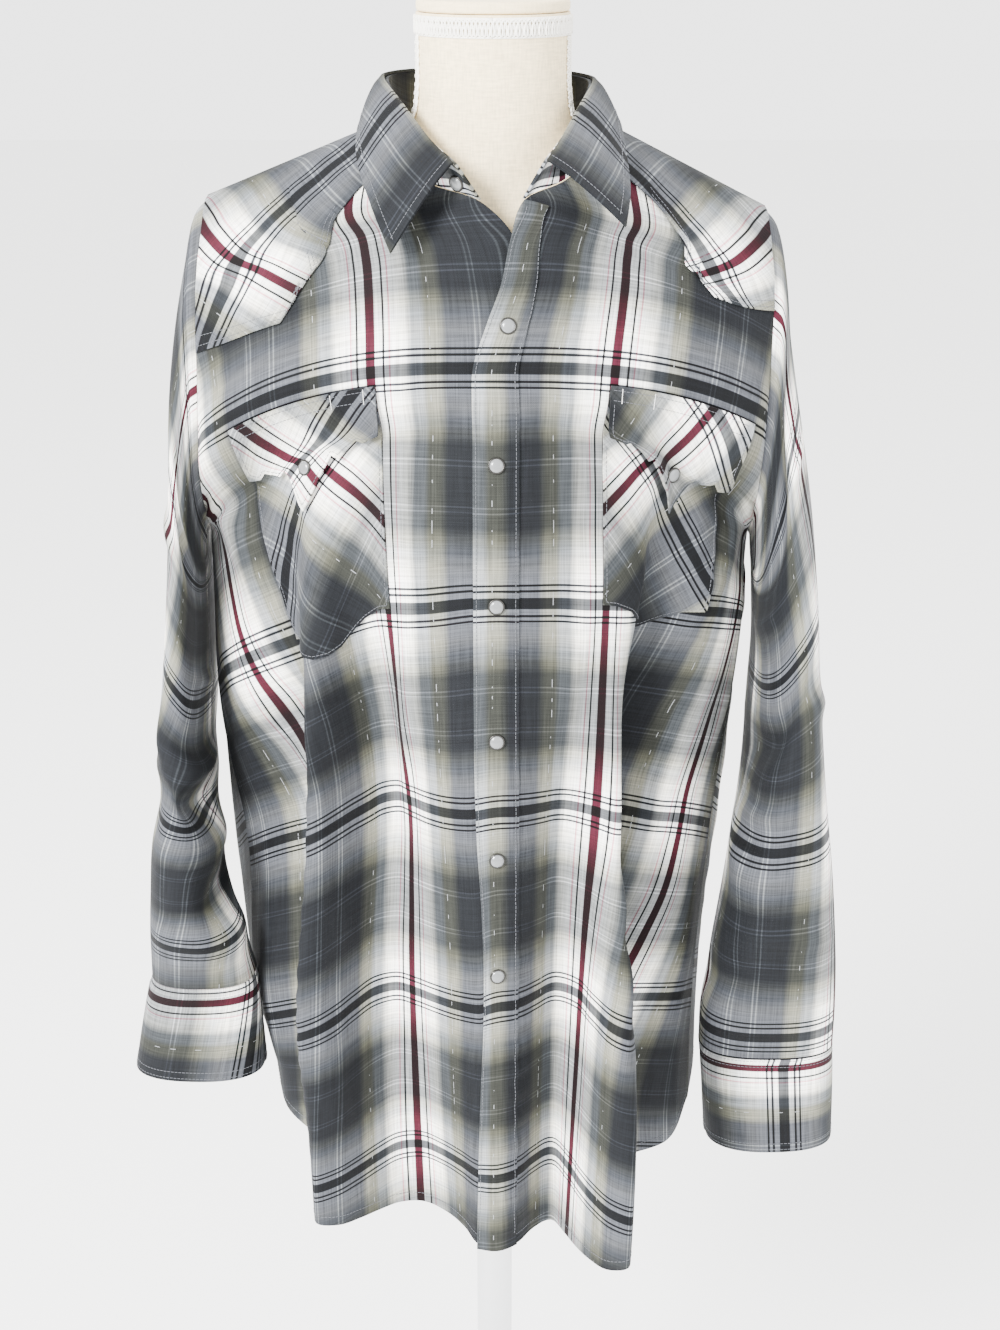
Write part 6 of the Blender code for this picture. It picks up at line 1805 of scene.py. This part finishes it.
class SHIRT_OT_pockets(bpy.types.Operator):
    """Builds the chest pockets and their flaps"""
    bl_idname = "shirt.pockets"
    bl_label = "Pockets and flaps"

    def execute(self, context):
        build_pockets()
        return {"FINISHED"}


class SHIRT_OT_snaps(bpy.types.Operator):
    """Builds the pearl snaps"""
    bl_idname = "shirt.snaps"
    bl_label = "Snaps"

    def execute(self, context):
        build_snaps(context.scene.shirt_sizes.snap_radius)
        return {"FINISHED"}


class SHIRT_OT_stitches(bpy.types.Operator):
    """Sews the topstitching"""
    bl_idname = "shirt.stitches"
    bl_label = "Topstitching"

    def execute(self, context):
        sizes = context.scene.shirt_sizes
        stitch_body(sizes.stitch_length, sizes.stitch_pitch)
        stitch_collar_and_cuffs(sizes.stitch_length, sizes.stitch_pitch)
        return {"FINISHED"}


class SHIRT_OT_form(bpy.types.Operator):
    """Builds the dress form and the braid on its neck"""
    bl_idname = "shirt.form"
    bl_label = "Dress form"

    def execute(self, context):
        build_form_torso()
        build_braid(context.scene.shirt_sizes.braid_pitch)
        return {"FINISHED"}


class SHIRT_OT_stand(bpy.types.Operator):
    """Builds the form's cap, pole and base"""
    bl_idname = "shirt.stand"
    bl_label = "Cap, pole and base"

    def execute(self, context):
        build_stand()
        return {"FINISHED"}


class SHIRT_OT_stage(bpy.types.Operator):
    """Sets the floor, the lights and the camera"""
    bl_idname = "shirt.stage"
    bl_label = "Stage"

    def execute(self, context):
        build_stage()
        return {"FINISHED"}


PIECES = (SHIRT_OT_fronts, SHIRT_OT_back, SHIRT_OT_sleeves, SHIRT_OT_collar, SHIRT_OT_yokes,
          SHIRT_OT_placket, SHIRT_OT_pockets, SHIRT_OT_snaps, SHIRT_OT_stitches, SHIRT_OT_form,
          SHIRT_OT_stand, SHIRT_OT_stage)


class SHIRT_PT_panel(bpy.types.Panel):
    """Lists the shirt's sizes, colours and pieces"""
    bl_idname = "SHIRT_PT_panel"
    bl_label = "Western Snap Shirt"
    bl_space_type = "VIEW_3D"
    bl_region_type = "UI"
    bl_category = "Shirt"

    def draw(self, context):
        layout = self.layout
        for group in (context.scene.shirt_sizes, context.scene.shirt_colours):
            box = layout.box()
            for name in group.bl_rna.properties.keys():
                if name not in ("rna_type", "name"):
                    box.prop(group, name)
        for piece in PIECES:
            layout.operator(piece.bl_idname)


CLASSES = (ShirtColours, ShirtSizes, *PIECES, SHIRT_PT_panel)


def register():
    """Registers the groups, the operators and the panel."""
    for made in CLASSES:
        bpy.utils.register_class(made)
    bpy.types.Scene.shirt_colours = PointerProperty(type=ShirtColours)
    bpy.types.Scene.shirt_sizes = PointerProperty(type=ShirtSizes)


def unregister():
    """Takes them away again."""
    del bpy.types.Scene.shirt_sizes
    del bpy.types.Scene.shirt_colours
    for made in reversed(CLASSES):
        bpy.utils.unregister_class(made)


def main():
    """Builds every piece in order."""
    register()
    for piece in PIECES:
        group, name = piece.bl_idname.split(".")
        getattr(getattr(bpy.ops, group), name)()


if __name__ == "__main__":
    main()
